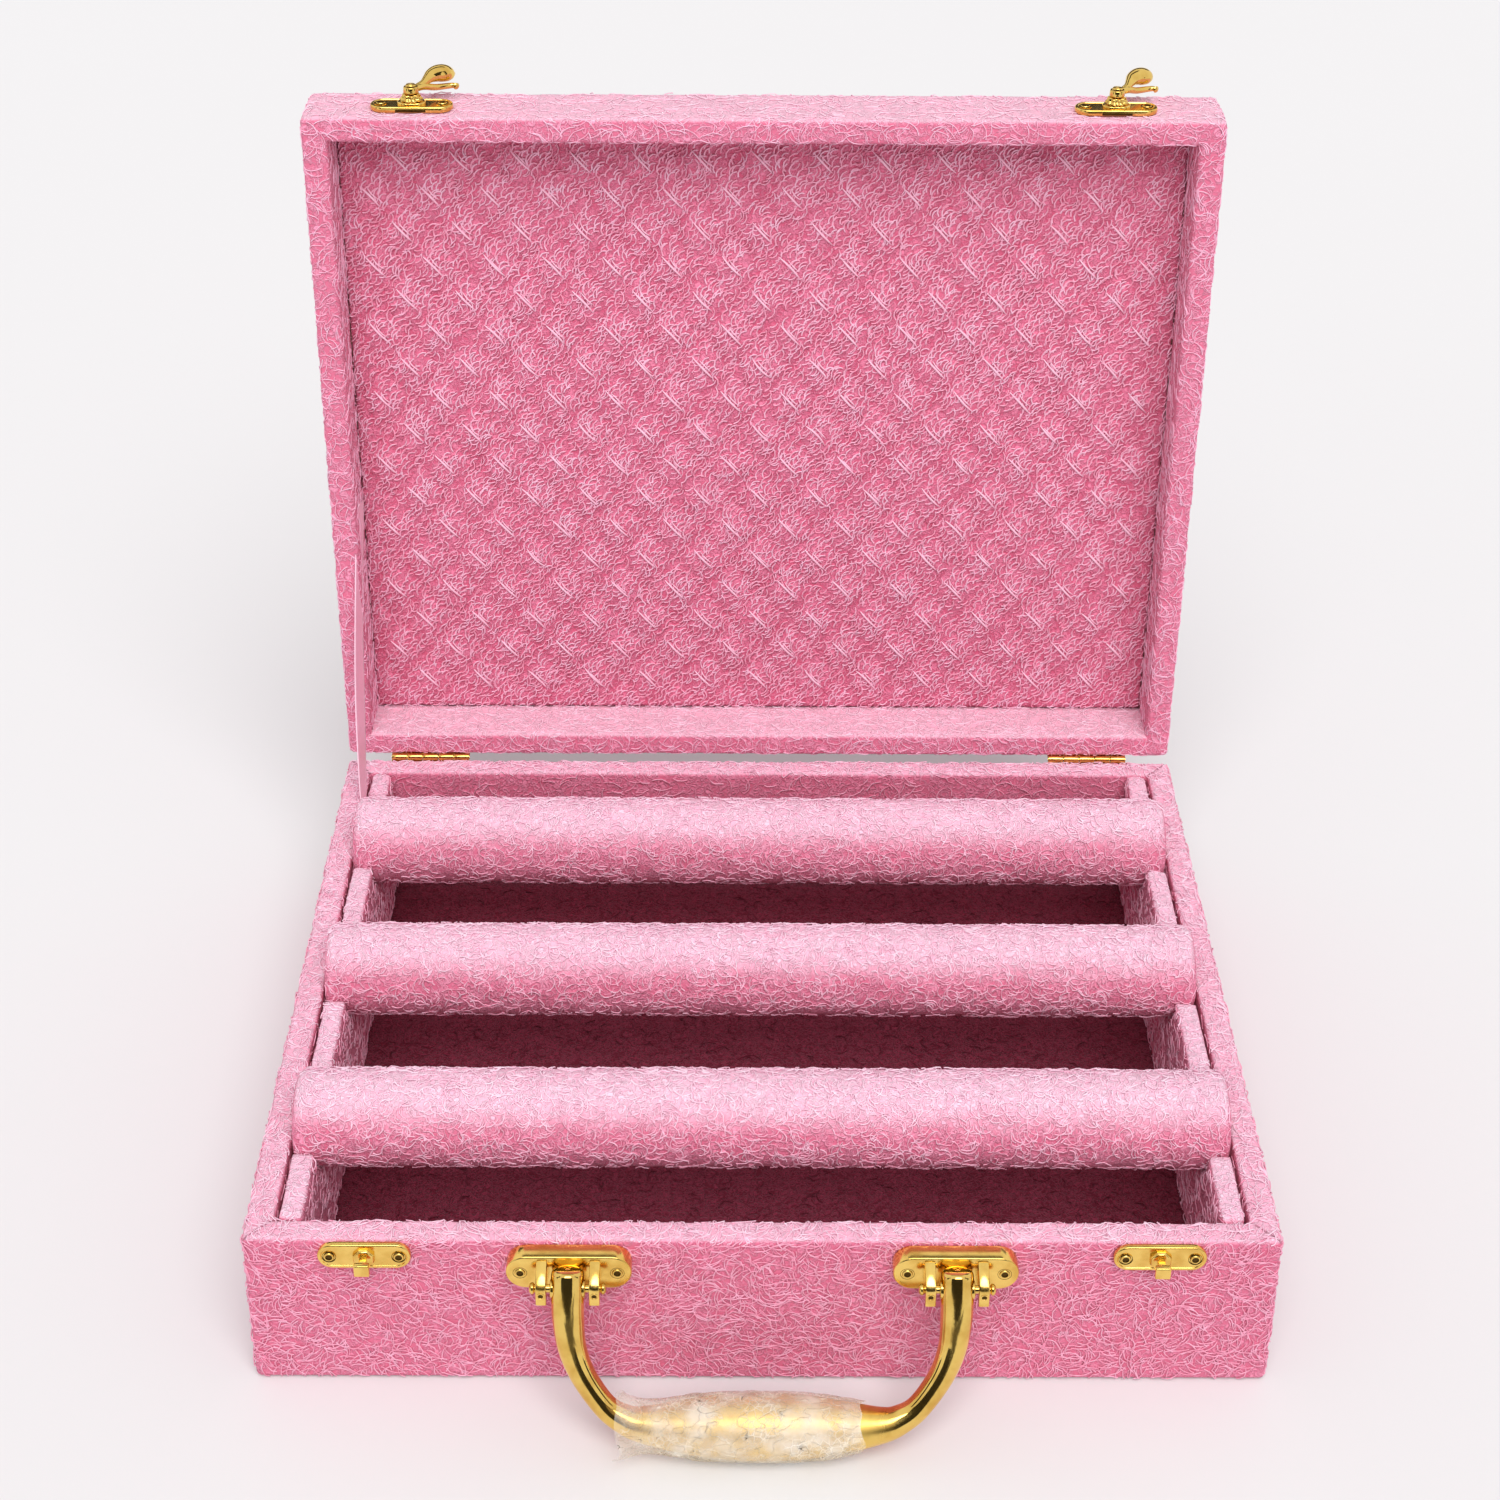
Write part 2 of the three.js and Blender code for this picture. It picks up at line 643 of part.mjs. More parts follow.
// Lid: modelled shut, then turned back about the hinge line
const lid = new THREE.Group();
const lid_swing = new THREE.Group();
lid.position.set(0, -hinge_y, -hinge_z);
lid_swing.position.set(0, hinge_y, hinge_z);
lid_swing.rotation.x = -lid_open_angle;
lid_swing.add(lid);
model.add(lid_swing);

const latch_z = lid_rim_z + latch_above_rim;

function lidCase() {
  const foot = lid_rim_z + board_inset;
  const board_holes = screwHoles(all_latch_screws, latch_z, hole_depth);
  wallBoards('lid', [foot, lid_top_z - board_inset], lid, board_holes);
  const panel_x = half_width - board_inset - board - fit_gap;
  const panel_y = half_depth - board_inset - board - fit_gap;
  const panel_z = [lid_board_z, lid_board_z + lid_panel_board];
  piece('lid_board_panel', block(both(panel_x), both(panel_y), panel_z), card, lid);

  const inside_end = lid_top_z - lid_board_z + fit_gap;
  const frame = wallSkin(lid_height, 0, inside_end, (z) => lid_top_z - z);
  const sheet_inset = hem_width - overrun;
  const sheet_x = both(half_width - sheet_inset);
  const sheet = block(sheet_x, both(half_depth - sheet_inset), [lid_top_z - skin, lid_top_z]);
  const holes = screwHoles(all_latch_screws, latch_z, board_inset);
  piece('lid_wrap', cutFrom(joined(frame, sheet), ...holes), plush, lid);
  piece('lid_lining_panel', quiltedPanel(), plush, lid);
}

// Padded lining quilted in diamonds: low along the crossing lines, raised in the middle of each diamond
function quiltedPanel() {
  const half_x = inner_half_x - fit_gap;
  const half_y = inner_half_y - fit_gap;
  const across = 2 * Math.round(2 * half_x / diamond_width);
  const down = 2 * Math.round(2 * half_y / diamond_length);
  const back_z = lid_board_z - fit_gap;
  const low_z = back_z - lining_base;
  const points = [];
  const index = [];
  const at = (i, j, layer) => layer * (across + 1) * (down + 1) + j * (across + 1) + i;
  for (const layer of [0, 1]) {
    for (let j = 0; j <= down; j += 1) {
      for (let i = 0; i <= across; i += 1) {
        const edge = i === 0 || j === 0 || i === across || j === down;
        const raised = layer === 0 && (i + j) % 2 === 1 && !edge;
        const face_z = raised ? low_z - lining_relief : low_z;
        const x = -half_x + 2 * half_x * i / across;
        const y = -half_y + 2 * half_y * j / down;
        points.push(x, y, layer ? back_z : face_z);
      }
    }
  }
  for (let j = 0; j < down; j += 1) {
    for (let i = 0; i < across; i += 1) {
      const [a, b, c, d] = [at(i, j, 0), at(i + 1, j, 0), at(i + 1, j + 1, 0), at(i, j + 1, 0)];
      if ((i + j) % 2) index.push(a, d, b, b, d, c);
      else index.push(a, c, b, a, d, c);
    }
  }
  const rim = [
    ...Array.from({ length: across }, (_, i) => [i, 0]),
    ...Array.from({ length: down }, (_, j) => [across, j]),
    ...Array.from({ length: across }, (_, i) => [across - i, down]),
    ...Array.from({ length: down }, (_, j) => [0, down - j]),
  ];
  const centre = points.length / 3;
  points.push(0, 0, back_z);
  rim.forEach(([i, j], n) => {
    const [i2, j2] = rim[(n + 1) % rim.length];
    index.push(at(i, j, 0), at(i2, j2, 0), at(i2, j2, 1), at(i, j, 0), at(i2, j2, 1), at(i, j, 1));
    index.push(centre, at(i, j, 1), at(i2, j2, 1));
  });
  const used = new Map();
  const kept = [];
  const renumbered = index.map((old) => {
    if (!used.has(old)) {
      used.set(old, used.size);
      kept.push(...points.slice(3 * old, 3 * old + 3));
    }
    return used.get(old);
  });
  const geometry = new THREE.BufferGeometry();
  geometry.setAttribute('position', new THREE.Float32BufferAttribute(kept, 3));
  geometry.setIndex(renumbered);
  return geometry;
}

// Latch on the lid: bridged plate, turned post and a swinging hook
function latch(side) {
  const name = side < 0 ? 'left' : 'right';
  const group = frontGroup(lid, side * latch_x, latch_z);
  const top = fit_gap + latch_plate_thickness;
  const bridge_top = top + bridge_height;
  const plate = latchPlate();
  const bridge_z = top - bridge_height;
  const bridge = roundEndPlate(bridge_length, bridge_width, bridge_height * 2, plate_edge, bridge_z);
  const bridged = joined(plateWithHoles(plate, latch_screw_spacing, top), bridge);
  piece(`latch_plate_${name}`, bridged, gilt, group);
  screwPlaces(0, latch_screw_spacing).forEach((x, i) => {
    const mesh = piece(`latch_plate_${name}_screw_${i + 1}`, screw(top), gilt, group);
    mesh.position.x = x;
  });

  const foot = bridge_top + fit_gap;
  const shoulder = foot + collar_height;
  const cap = shoulder + fit_gap + hub_height + fit_gap;
  const profile = [
    ...collar_shares.map(([r, h]) => [r * collar_radius, foot + h * collar_height]),
    [post_radius, shoulder], [post_radius, cap],
    ...post_cap_shares.map(([r, h]) => [r * post_cap_radius, cap + h * post_cap_height]),
  ];
  piece(`latch_post_${name}`, turned(profile, small_sides), gilt, group);

  const hook_group = new THREE.Group();
  hook_group.rotation.z = latch_rest_angle;
  group.add(hook_group);
  piece(`latch_hook_${name}`, hook(shoulder + fit_gap), gilt, hook_group);
}

// Hook: hub on the post, finger bowed round the keeper's neck to a ball, and a thumb lobe beside it
function hook(hub_z) {
  const hub_top = hub_z + hub_height;
  const ball_reach = post_to_stud + stud_neck / 2 + fit_gap + finger_ball_radius;
  const ball_side = finger_ball_radius * ball_side_share;
  const bow = stud_neck / 2 + finger_radius + 2 * fit_gap;
  const finger_z = fit_gap + latch_plate_thickness + stud_collar_height + stud_neck_height / 2;
  const drop = hub_z + finger_radius - finger_z;
  const path = new THREE.CatmullRomCurve3([
    ...finger_shares.map(([x, y, z]) => new THREE.Vector3(x * post_to_stud, y * bow, finger_z + z * drop)),
    new THREE.Vector3(ball_reach - ball_side, bow * ball_turn_share, finger_z),
    new THREE.Vector3(ball_reach, ball_side, finger_z),
  ]);
  const section = new THREE.Shape();
  section.absarc(0, 0, finger_radius, 0, 2 * Math.PI);
  const finger = new THREE.ExtrudeGeometry(section, {
    steps: finger_steps, extrudePath: path, curveSegments: finger_sides,
  });
  const ball = new THREE.SphereGeometry(finger_ball_radius, small_sides, hidden_sides);
  ball.translate(ball_reach, ball_side, finger_z);

  const [ahead, aside] = [lobe_reach - lobe_root, lobe_side - lobe_root_side];
  const length = Math.hypot(ahead, aside) + lobe_radius;
  const lobe = turned(lobe_shares.map(([r, h]) => [r * lobe_radius, h * length]), small_sides);
  lobe.rotateY(Math.PI / 2).rotateZ(Math.atan2(aside, ahead));
  lobe.translate(lobe_root, lobe_root_side, hub_z + hub_height / 2 + lobe_lift);

  const hub = rod('z', hub_radius, hub_z, hub_top, small_sides);
  const bore = rod('z', post_radius + fit_gap, hub_z - overrun, hub_top + overrun, small_sides);
  const clear_above = block(both(hub_radius), both(hub_radius), [hub_top, hub_top + lobe_radius]);
  return cutFrom(joined(hub, cutFrom(lobe, clear_above), finger, ball), bore);
}

// Hinge leaf with its knuckles, made round the hinge line. up is 1 for the lid's leaf, -1 for the base's.
function hingeLeaf(up, own) {
  const half = hinge_length / 2;
  const knuckle = hinge_length / hinge_knuckles;
  const clear_radius = barrel_radius + fit_gap;
  const root = (barrel_radius + barrel_bore_radius) / 2 * up;
  const tip = leaf_height * up;
  const plate = block(both(half), [-leaf_thickness, 0], [Math.min(root, tip), Math.max(root, tip)]);
  const rings = [];
  const clearances = [];
  for (let i = 0; i < hinge_knuckles; i += 1) {
    const from = -half + i * knuckle;
    const to = from + knuckle;
    if (own(i)) rings.push(rod('x', barrel_radius, from + fit_gap / 2, to - fit_gap / 2, small_sides));
    else clearances.push(rod('x', clear_radius, from - fit_gap / 2, to + fit_gap / 2, small_sides));
  }
  const bore = rod('x', barrel_bore_radius, -half - overrun, half + overrun, small_sides);
  return cutFrom(joined(cutFrom(plate, ...clearances), ...rings), bore);
}

function hinge(side) {
  const name = side < 0 ? 'left' : 'right';
  const x = side * hinge_x;
  const even = (i) => i % 2 === 0;
  const odd = (i) => i % 2 === 1;
  const place = (geometry) => geometry.translate(x, hinge_y, hinge_z);
  piece(`hinge_base_leaf_${name}`, place(hingeLeaf(-1, even)), gilt);
  piece(`hinge_lid_leaf_${name}`, place(hingeLeaf(1, odd)), gilt, lid);
  const pin = rod('x', hinge_pin_radius, -hinge_length / 2, hinge_length / 2, small_sides);
  piece(`hinge_pin_${name}`, place(pin), gilt);
}

// Ribbon stay: a taut strap from the groove beside the left rest to the lid's side, its face to the wall
function ribbonStay() {
  const foot = new THREE.Vector2(stay_base_y, base_height);
  const head = new THREE.Vector2(hinge_y + rim_gap / 2 + stay_lid_depth, hinge_z + stay_lid_reach);
  const along = head.clone().sub(foot).normalize();
  const across = new THREE.Vector2(-along.y, along.x).multiplyScalar(stay_width / 2);
  const start = foot.clone().addScaledVector(along, -stay_tuck / along.y);
  const corners = [
    start.clone().sub(across), head.clone().sub(across), head.clone().add(across), start.clone().add(across),
  ];
  const outline = new THREE.Shape(corners);
  const geometry = new THREE.ExtrudeGeometry(outline, { depth: stay_thickness, bevelEnabled: false });
  geometry.rotateX(Math.PI / 2).rotateZ(Math.PI / 2);
  piece('stay_ribbon', geometry.translate(-inner_half_x + fit_gap, 0, 0), satin);
}

baseCase();
rollRests();
rolls();
lidCase();
for (const side of [-1, 1]) {
  keeper(side);
  handleMount(side);
  latch(side);
  hinge(side);
}
handle();
ribbonStay();

export default model;
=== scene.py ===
"""Plush-covered bangle box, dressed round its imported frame. Metres, +Z up, front towards -Y."""

import json
import math

import bmesh
import bpy
import numpy as np
from mathutils import Matrix, Vector, noise


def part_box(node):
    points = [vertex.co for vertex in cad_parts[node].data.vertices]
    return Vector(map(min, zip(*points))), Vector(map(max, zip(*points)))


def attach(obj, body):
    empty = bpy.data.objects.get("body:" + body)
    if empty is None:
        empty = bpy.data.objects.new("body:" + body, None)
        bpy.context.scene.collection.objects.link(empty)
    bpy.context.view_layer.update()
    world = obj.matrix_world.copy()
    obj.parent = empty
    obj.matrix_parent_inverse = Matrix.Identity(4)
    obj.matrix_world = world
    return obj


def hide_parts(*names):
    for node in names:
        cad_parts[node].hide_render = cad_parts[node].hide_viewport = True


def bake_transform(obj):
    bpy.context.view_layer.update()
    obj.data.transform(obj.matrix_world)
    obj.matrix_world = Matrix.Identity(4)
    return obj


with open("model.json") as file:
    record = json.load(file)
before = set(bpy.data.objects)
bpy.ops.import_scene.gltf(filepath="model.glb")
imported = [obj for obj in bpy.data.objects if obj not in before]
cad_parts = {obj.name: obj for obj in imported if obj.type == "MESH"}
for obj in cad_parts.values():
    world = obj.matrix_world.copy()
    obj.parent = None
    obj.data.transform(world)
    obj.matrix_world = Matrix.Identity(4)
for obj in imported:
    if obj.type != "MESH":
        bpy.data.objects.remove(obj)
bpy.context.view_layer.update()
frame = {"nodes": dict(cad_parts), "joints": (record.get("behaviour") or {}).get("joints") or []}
noise.seed_set(5)  # without it the vector noise would change from run to run

MM = 0.001
TURN = 2 * math.pi

# Places and sizes that come from the frame
wrap_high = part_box("base_wrap")[1]
roll_low, roll_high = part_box("roll_middle_cover")
lining_low, lining_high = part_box("lid_lining_panel")
lid_low, lid_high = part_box("lid_wrap")
joints = {joint["name"]: joint for joint in frame["joints"]}
hinge_line = Vector(joints["lid_hinge"]["pos_m"])
handle_line = Vector(joints["handle_hinge"]["pos_m"])
half_width = wrap_high.x
half_depth = wrap_high.y
base_height = wrap_high.z
lid_height = lid_high.y - lid_low.y
roll_radius = (roll_high.z - roll_low.z) / 2

# Sizes of the covering, as in the frame
skin = 1.2 * MM
wall = 8.5 * MM
rim_radius = 1.5 * MM
corner_radius = 1.8 * MM
inner_radius = 0.3 * MM
hem_width = 10 * MM
hem_lift = 0.3 * MM
rim_gap = 1 * MM
base_skin_foot = 6.1 * MM  # where the inner skin of the base ends
lid_skin_foot = 4.2 * MM  # the same in the lid, from its top
skin_step = 2.6 * MM
skin_ripple = (0.22 * MM, 7 * MM)  # how far and how wide the skins wave
lining_flat = 0.8 * MM
lining_relief = 1.2 * MM
lining_width = lining_high.x - lining_low.x
lining_length = lining_high.z - lining_low.z
diamond_width = 20.5 * MM
diamond_length = 25.8 * MM
diamonds_across = round(lining_width / diamond_width)
diamonds_down = round(lining_length / diamond_length)
lid_top = base_height + rim_gap + lid_height

# Places of the fittings, in metres
latch_z = base_height + rim_gap + 8.8 * MM
keeper_z = base_height - 4.6 * MM
mount_z = base_height - 7 * MM
latch_x = 116.5 * MM
mount_x = 56.5 * MM
hinge_x = 122.4 * MM

# Sizes of the fittings, in millimetres
fit_gap = 0.3
plate_length, plate_width, plate_top = 27.4, 9, fit_gap + 2
mount_length, mount_width, mount_top = 36.8, 12, fit_gap + 5.7
plate_edge = 0.5
plate_screws = 20.4
mount_screws = 28.4
screw_radius = 2.1
pin_drop = -0.8
pin_stand_off = 11.3
ear_front = pin_stand_off + 2.4
ears = ((-9.3, -6.2), (6.2, 9.3))
handle_reach = 41.4
film_radius = 10.25
axis_end = 0.01  # radius of the tiny ring that closes a turned part

handle_hang = math.acos((handle_line.z - (film_radius + 0.1) * MM) / (handle_reach * MM))
latch_rest_angle = math.radians(30)

# Camera, fitted to the corners of the case in the photograph
camera_place = Vector((-7.62, -713.5, 621.6)) * MM
camera_pitch = math.radians(29.19)
camera_roll = math.radians(0.36)
camera_yaw = math.radians(-0.26)
camera_lens = 64.84
camera_shift = -0.1443


def place_camera():
    data = bpy.data.cameras.new("camera")
    data.sensor_width = 36
    data.lens = camera_lens
    data.shift_y = camera_shift
    data.clip_start = 0.01
    data.clip_end = 50
    ahead = Vector((
        -math.sin(camera_yaw) * math.cos(camera_pitch),
        math.cos(camera_yaw) * math.cos(camera_pitch),
        -math.sin(camera_pitch),
    ))
    level = Vector((math.cos(camera_yaw), math.sin(camera_yaw), 0))
    up = level.cross(ahead)
    right = level * math.cos(camera_roll) + up * math.sin(camera_roll)
    up = up * math.cos(camera_roll) - level * math.sin(camera_roll)
    turn = Matrix((right, up, -ahead)).transposed().to_4x4()
    camera = bpy.data.objects.new("camera", data)
    camera.matrix_world = Matrix.Translation(camera_place) @ turn
    bpy.context.scene.collection.objects.link(camera)
    bpy.context.scene.camera = camera


class Value:
    """A socket that takes part in sums as a number would."""

    def __init__(self, tree, socket):
        self.tree = tree
        self.socket = socket

    def sum(self, operation, other=None, swap=False):
        node = self.tree.nodes.new("ShaderNodeMath")
        node.operation = operation
        for target, item in zip(node.inputs, [other, self] if swap else [self, other]):
            connect(self.tree, item, target)
        return Value(self.tree, node.outputs[0])

    def __add__(self, other):
        return self.sum("ADD", other)

    def __sub__(self, other):
        return self.sum("SUBTRACT", other)

    def __mul__(self, other):
        return self.sum("MULTIPLY", other)

    def __truediv__(self, other):
        return self.sum("DIVIDE", other)

    def __rsub__(self, other):
        return self.sum("SUBTRACT", other, swap=True)

    __radd__ = __add__
    __rmul__ = __mul__

    def size(self):
        return self.sum("ABSOLUTE")

    def sine(self):
        return self.sum("SINE")

    def most(self, other):
        return self.sum("MAXIMUM", other)

    def least(self, other):
        return self.sum("MINIMUM", other)

    def step(self, low, high):
        """Rises smoothly from 0 at low to 1 at high."""
        node = self.tree.nodes.new("ShaderNodeMapRange")
        node.interpolation_type = "SMOOTHSTEP"
        for name, item in (("Value", self), ("From Min", low), ("From Max", high)):
            connect(self.tree, item, node.inputs[name])
        return Value(self.tree, node.outputs[0])


def connect(tree, item, target):
    """Links a socket or a value to target, or sets a constant there. A colour may come without its alpha."""
    if item is None:
        return
    if isinstance(item, Value):
        item = item.socket
    if isinstance(item, bpy.types.NodeSocket):
        tree.links.new(item, target)
    elif target.type == "RGBA":
        target.default_value = (*item[:3], 1)
    else:
        target.default_value = item


class Nodes:
    """The one way to add a node to a tree: its type, its settings, then its inputs."""

    def __init__(self, tree):
        self.tree = tree

    def node(self, kind, settings=None, inputs=None):
        made = self.tree.nodes.new(kind)
        for key, value in (settings or {}).items():
            setattr(made, key, value)
        for key, item in (inputs or {}).items():
            connect(self.tree, item, made.inputs[key])
        return made

    def value(self, node, output=0):
        return Value(self.tree, node.outputs[output])

    def vector(self, operation, first, second=None, scale=None):
        inputs = {0: first, 1: second}
        if scale is not None:
            inputs["Scale"] = scale
        return self.node("ShaderNodeVectorMath", {"operation": operation}, inputs).outputs[0]

    def stray(self, vector, size, detail, amount):
        """Noise that strays from nothing by up to about half the amount each way."""
        sway = self.node("ShaderNodeTexNoise", inputs={"Vector": vector, "Scale": 1 / size, "Detail": detail})
        centred = self.vector("SUBTRACT", sway.outputs["Color"], (0.5, 0.5, 0.5))
        return self.vector("SCALE", centred, scale=amount)


class Finish(Nodes):
    """A material with one Principled surface."""

    def __init__(self, name, **constants):
        self.material = bpy.data.materials.new(name)
        self.material.use_nodes = True
        super().__init__(self.material.node_tree)
        self.surface = self.tree.nodes["Principled BSDF"]
        self.base = self.surface.inputs["Base Color"]
        for key, value in constants.items():
            connect(self.tree, value, self.surface.inputs[plain_names.get(key, key.replace("_", " ").title())])

    def coordinates(self):
        return self.node("ShaderNodeTexCoord").outputs["Object"]

    def stored(self, name, output):
        return self.node("ShaderNodeAttribute", {"attribute_name": name}).outputs[output]

    def along(self, vector):
        parts = self.node("ShaderNodeSeparateXYZ", inputs={0: vector})
        return [self.value(parts, axis) for axis in range(3)]

    def noise(self, vector, size, detail=2.0, stretch=None, shift=None):
        """Noise whose grains are about size across, between 0 and 1."""
        if shift is not None:
            vector = self.vector("ADD", vector, shift)
        if stretch is not None:
            vector = self.vector("MULTIPLY", vector, stretch)
        made = self.node("ShaderNodeTexNoise", inputs={"Vector": vector, "Scale": 1 / size, "Detail": detail})
        return self.value(made, "Fac")

    def fold(self, vector, size, width, **more):
        """Thin winding lines: 1 along them and 0 away from them."""
        return 1 - (self.noise(vector, size, **more) - 0.5).size().step(0.0, width)

    def mixed(self, share, first, second):
        made = self.node("ShaderNodeMix", {"data_type": "RGBA"})
        for key, item in (("Factor_Float", share), ("A_Color", first), ("B_Color", second)):
            connect(self.tree, item, next(s for s in made.inputs if s.identifier == key))
        return next(s for s in made.outputs if s.identifier == "Result_Color")

    def dress(self, colour, roughness, height, depth, strength=1.0):
        """Colour, roughness and bump of the surface. Returns the material."""
        bump = self.node("ShaderNodeBump", inputs={"Height": height, "Distance": depth, "Strength": strength})
        connect(self.tree, colour, self.base)
        connect(self.tree, roughness, self.surface.inputs["Roughness"])
        connect(self.tree, bump.outputs[0], self.surface.inputs["Normal"])
        return self.material


plain_names = {"specular": "Specular IOR Level", "ior": "IOR"}


def curl_layer(finish, vector, cell, thickness, shift):
    """C-shaped curls, one to a cell, each turned its own way. Returns their height and their tone."""
    moved = finish.vector("ADD", vector, shift)
    cells = finish.node("ShaderNodeTexVoronoi", inputs={"Vector": moved, "Scale": 1 / cell})
    away = finish.vector("SUBTRACT", moved, cells.outputs["Position"])
    tint = cells.outputs["Color"]
    tones = finish.along(tint)
    centred = finish.vector("SUBTRACT", tint, (0.5, 0.5, 0.5))
    sums = (("LENGTH", None), ("DOT_PRODUCT", centred))
    reach, facing = (
        finish.value(finish.node("ShaderNodeVectorMath", {"operation": name}, {0: away, 1: other}), "Value")
        for name, other in sums
    )
    ring = (reach - (0.22 + 0.3 * tones[0]) * cell).size() / thickness
    open_side = (facing / cell).step(-0.1, 0.0)
    return (1 - ring * ring).most(0) * open_side, tones[1]


def upward_share(finish):
    """How far the surface under a spot faces up, from the normals stored with the mesh."""
    return finish.along(finish.stored("surface_normal", "Vector"))[2].step(0.25, 0.95)


def top_lit_colour(finish, tones, tone, painted_top_light):
    """The colour of a tone, paler where the surface faces up: painted light from above."""
    deep, light, pale_deep, pale_light = tones
    own, top_lit = finish.mixed(tone, deep, light), finish.mixed(tone, pale_deep, pale_light)
    # the paler tops are painted light from above
    return finish.mixed(upward_share(finish) * painted_top_light, own, top_lit)


def plush_finish(name, tones, curl_size, shift, seams=False, raised=False, painted_top_light=0.9):
    """Plush whose pile is a mat of thin curls: light strands over a deeper ground."""
    finish = Finish(
        name, roughness=0.9, sheen_weight=0.12, sheen_roughness=0.5, specular=0.12, sheen_tint=(1.0, 0.8, 0.88))
    vector = finish.coordinates()
    bent = finish.vector("ADD", vector, finish.stray(vector, 2.6 * MM, 1.0, 2.0 * MM))
    worm = finish.fold(vector, 1.7 * MM, 0.07, detail=1.0)
    height = worm * 0.3
    tone = 0.1 + worm * 0.4
    for layer in range(6):
        cell = curl_size * (1 - 0.08 * layer)
        move = (shift + 0.37 * layer * cell, 0.61 * layer * cell, 0.23 * layer * cell)
        curl, curl_tone = curl_layer(finish, bent, cell, 0.25 * MM, move)
        over = curl.step(0.0, 0.35)
        height = height * (1 - over) + (curl * 0.6 + 0.3 + 0.05 * layer) * over
        tone = tone * (1 - over) + (curl_tone * 0.35 + 0.1 + 0.6 * curl) * over
    patches = finish.noise(vector, 14 * MM, detail=1.0, shift=(shift, 0, 0))
    tone = 0.2 + tone * 0.65 + (patches - 0.5) * 0.12
    # lighter on the raised diamonds and darker in the channels: painted shade of the quilting
    if raised:
        tone = tone + (Value(finish.tree, finish.stored("raised_share", "Fac")) - 0.45) * 0.22
    tone = tone.step(0.0, 1.0)
    # paler where the surface faces up: painted light from above
    ground = top_lit_colour(finish, tones, tone, painted_top_light)
    if seams:
        x, y, z = finish.along(vector)
        corner = ((x.size() - half_width) - (y.size() - half_depth)).size()
        near_rim = z.step(base_height - 1.5 * MM, base_height - 0.5 * MM)
        # the crease at each corner of the rim is darkened: painted shade in the crease, with a dip in the bump
        # as well
        crease = (1 - corner.step(0.2 * MM, 0.7 * MM)) * near_rim
        ground = finish.mixed(crease * 0.6, ground, [0.5 * part for part in tones[0]])
        height = height - crease * 0.8
    return finish.dress(ground, 0.97 - tone * 0.15, height, 0.4 * MM)


def strand_finish(name, tones, shift, painted_top_light=0.85, quilted=False):
    """Single strands of the pile, some lighter than others, and darker in the channels where it is quilted, as
    painted shade.
    """
    finish = Finish(name, sheen_weight=0.05, sheen_roughness=0.5, specular=0.12)
    vector = finish.coordinates()
    tone = finish.noise(vector, 2.4 * MM, detail=1.0, shift=(shift, 0, 0)).step(0.3, 0.7)
    if quilted:
        x, _, z = finish.along(vector)
        u = (x - lining_low.x) * (diamonds_across / lining_width * TURN / 2)
        v = (z - lining_low.z) * (diamonds_down / lining_length * TURN / 2)
        crown = ((u + v).sine() * (u - v).sine()).size()
        # lighter on the crowns and darker in the channels: painted shade of the quilting
        tone = tone * 0.7 + crown.step(0.0, 0.3) * 0.3
    # paler where the surface faces up: painted light from above
    colour = top_lit_colour(finish, tones, tone, painted_top_light)
    return finish.dress(colour, 0.6 + 0.3 * tone, finish.noise(vector, 0.25 * MM), 0.05 * MM)


def gilt_finish(name, colour, rough, smear, dulled=0.0):
    """Gold-coloured plating with slight waviness, darker in places, and a few dull smears."""
    finish = Finish(name, metallic=1.0)
    vector = finish.coordinates()
    haze = finish.noise(vector, 6 * MM, detail=3.0)
    fine = finish.noise(vector, 0.5 * MM)
    tint = (0.8 * colour[0], 0.7 * colour[1], 0.55 * colour[2])
    rough = rough + smear * haze.step(0.45, 0.7) + 0.04 * fine
    if dulled:
        rough = rough + dulled * (1 - finish.along(vector)[0].size().step(28 * MM, 44 * MM))
    shade = finish.mixed(haze.step(0.35, 0.75), colour, tint)
    return finish.dress(shade, rough, haze * 0.7 + fine * 0.05, 0.12 * MM, 0.5)


def recess_shade_finish():
    """Dark metal in the countersinks and drives of the screws: painted shade in the recesses."""
    finish = Finish("painted_recess_shade", metallic=1.0)
    haze = finish.noise(finish.coordinates(), 0.6 * MM, detail=3.0)
    shade = finish.mixed(haze, (0.05, 0.028, 0.006), (0.16, 0.09, 0.02))
    return finish.dress(shade, 0.35 + 0.3 * haze, haze, 0.05 * MM, 0.5)


def satin_finish():
    """Woven satin with a close rib across it and a paler selvedge along both edges."""
    finish = Finish("satin_ribbon", sheen_weight=0.4, sheen_roughness=0.3, specular=0.6)
    cloth = finish.node("ShaderNodeUVMap").outputs[0]
    across, along, _ = finish.along(cloth)
    edge = (across - 0.5).size().step(0.40, 0.44)
    rib = (along * 260 * TURN).sine() * 0.5 + 0.5
    warp = finish.noise(cloth, 0.02, stretch=(1, 0.05, 1))
    body = finish.mixed(warp, (0.92, 0.42, 0.57), (0.97, 0.56, 0.70))
    shade = finish.mixed(edge * 0.8, body, (0.99, 0.68, 0.80))
    return finish.dress(shade, 0.34 + 0.2 * edge + 0.1 * rib, rib * 0.4 + warp * 0.6, 0.06 * MM, 0.5)


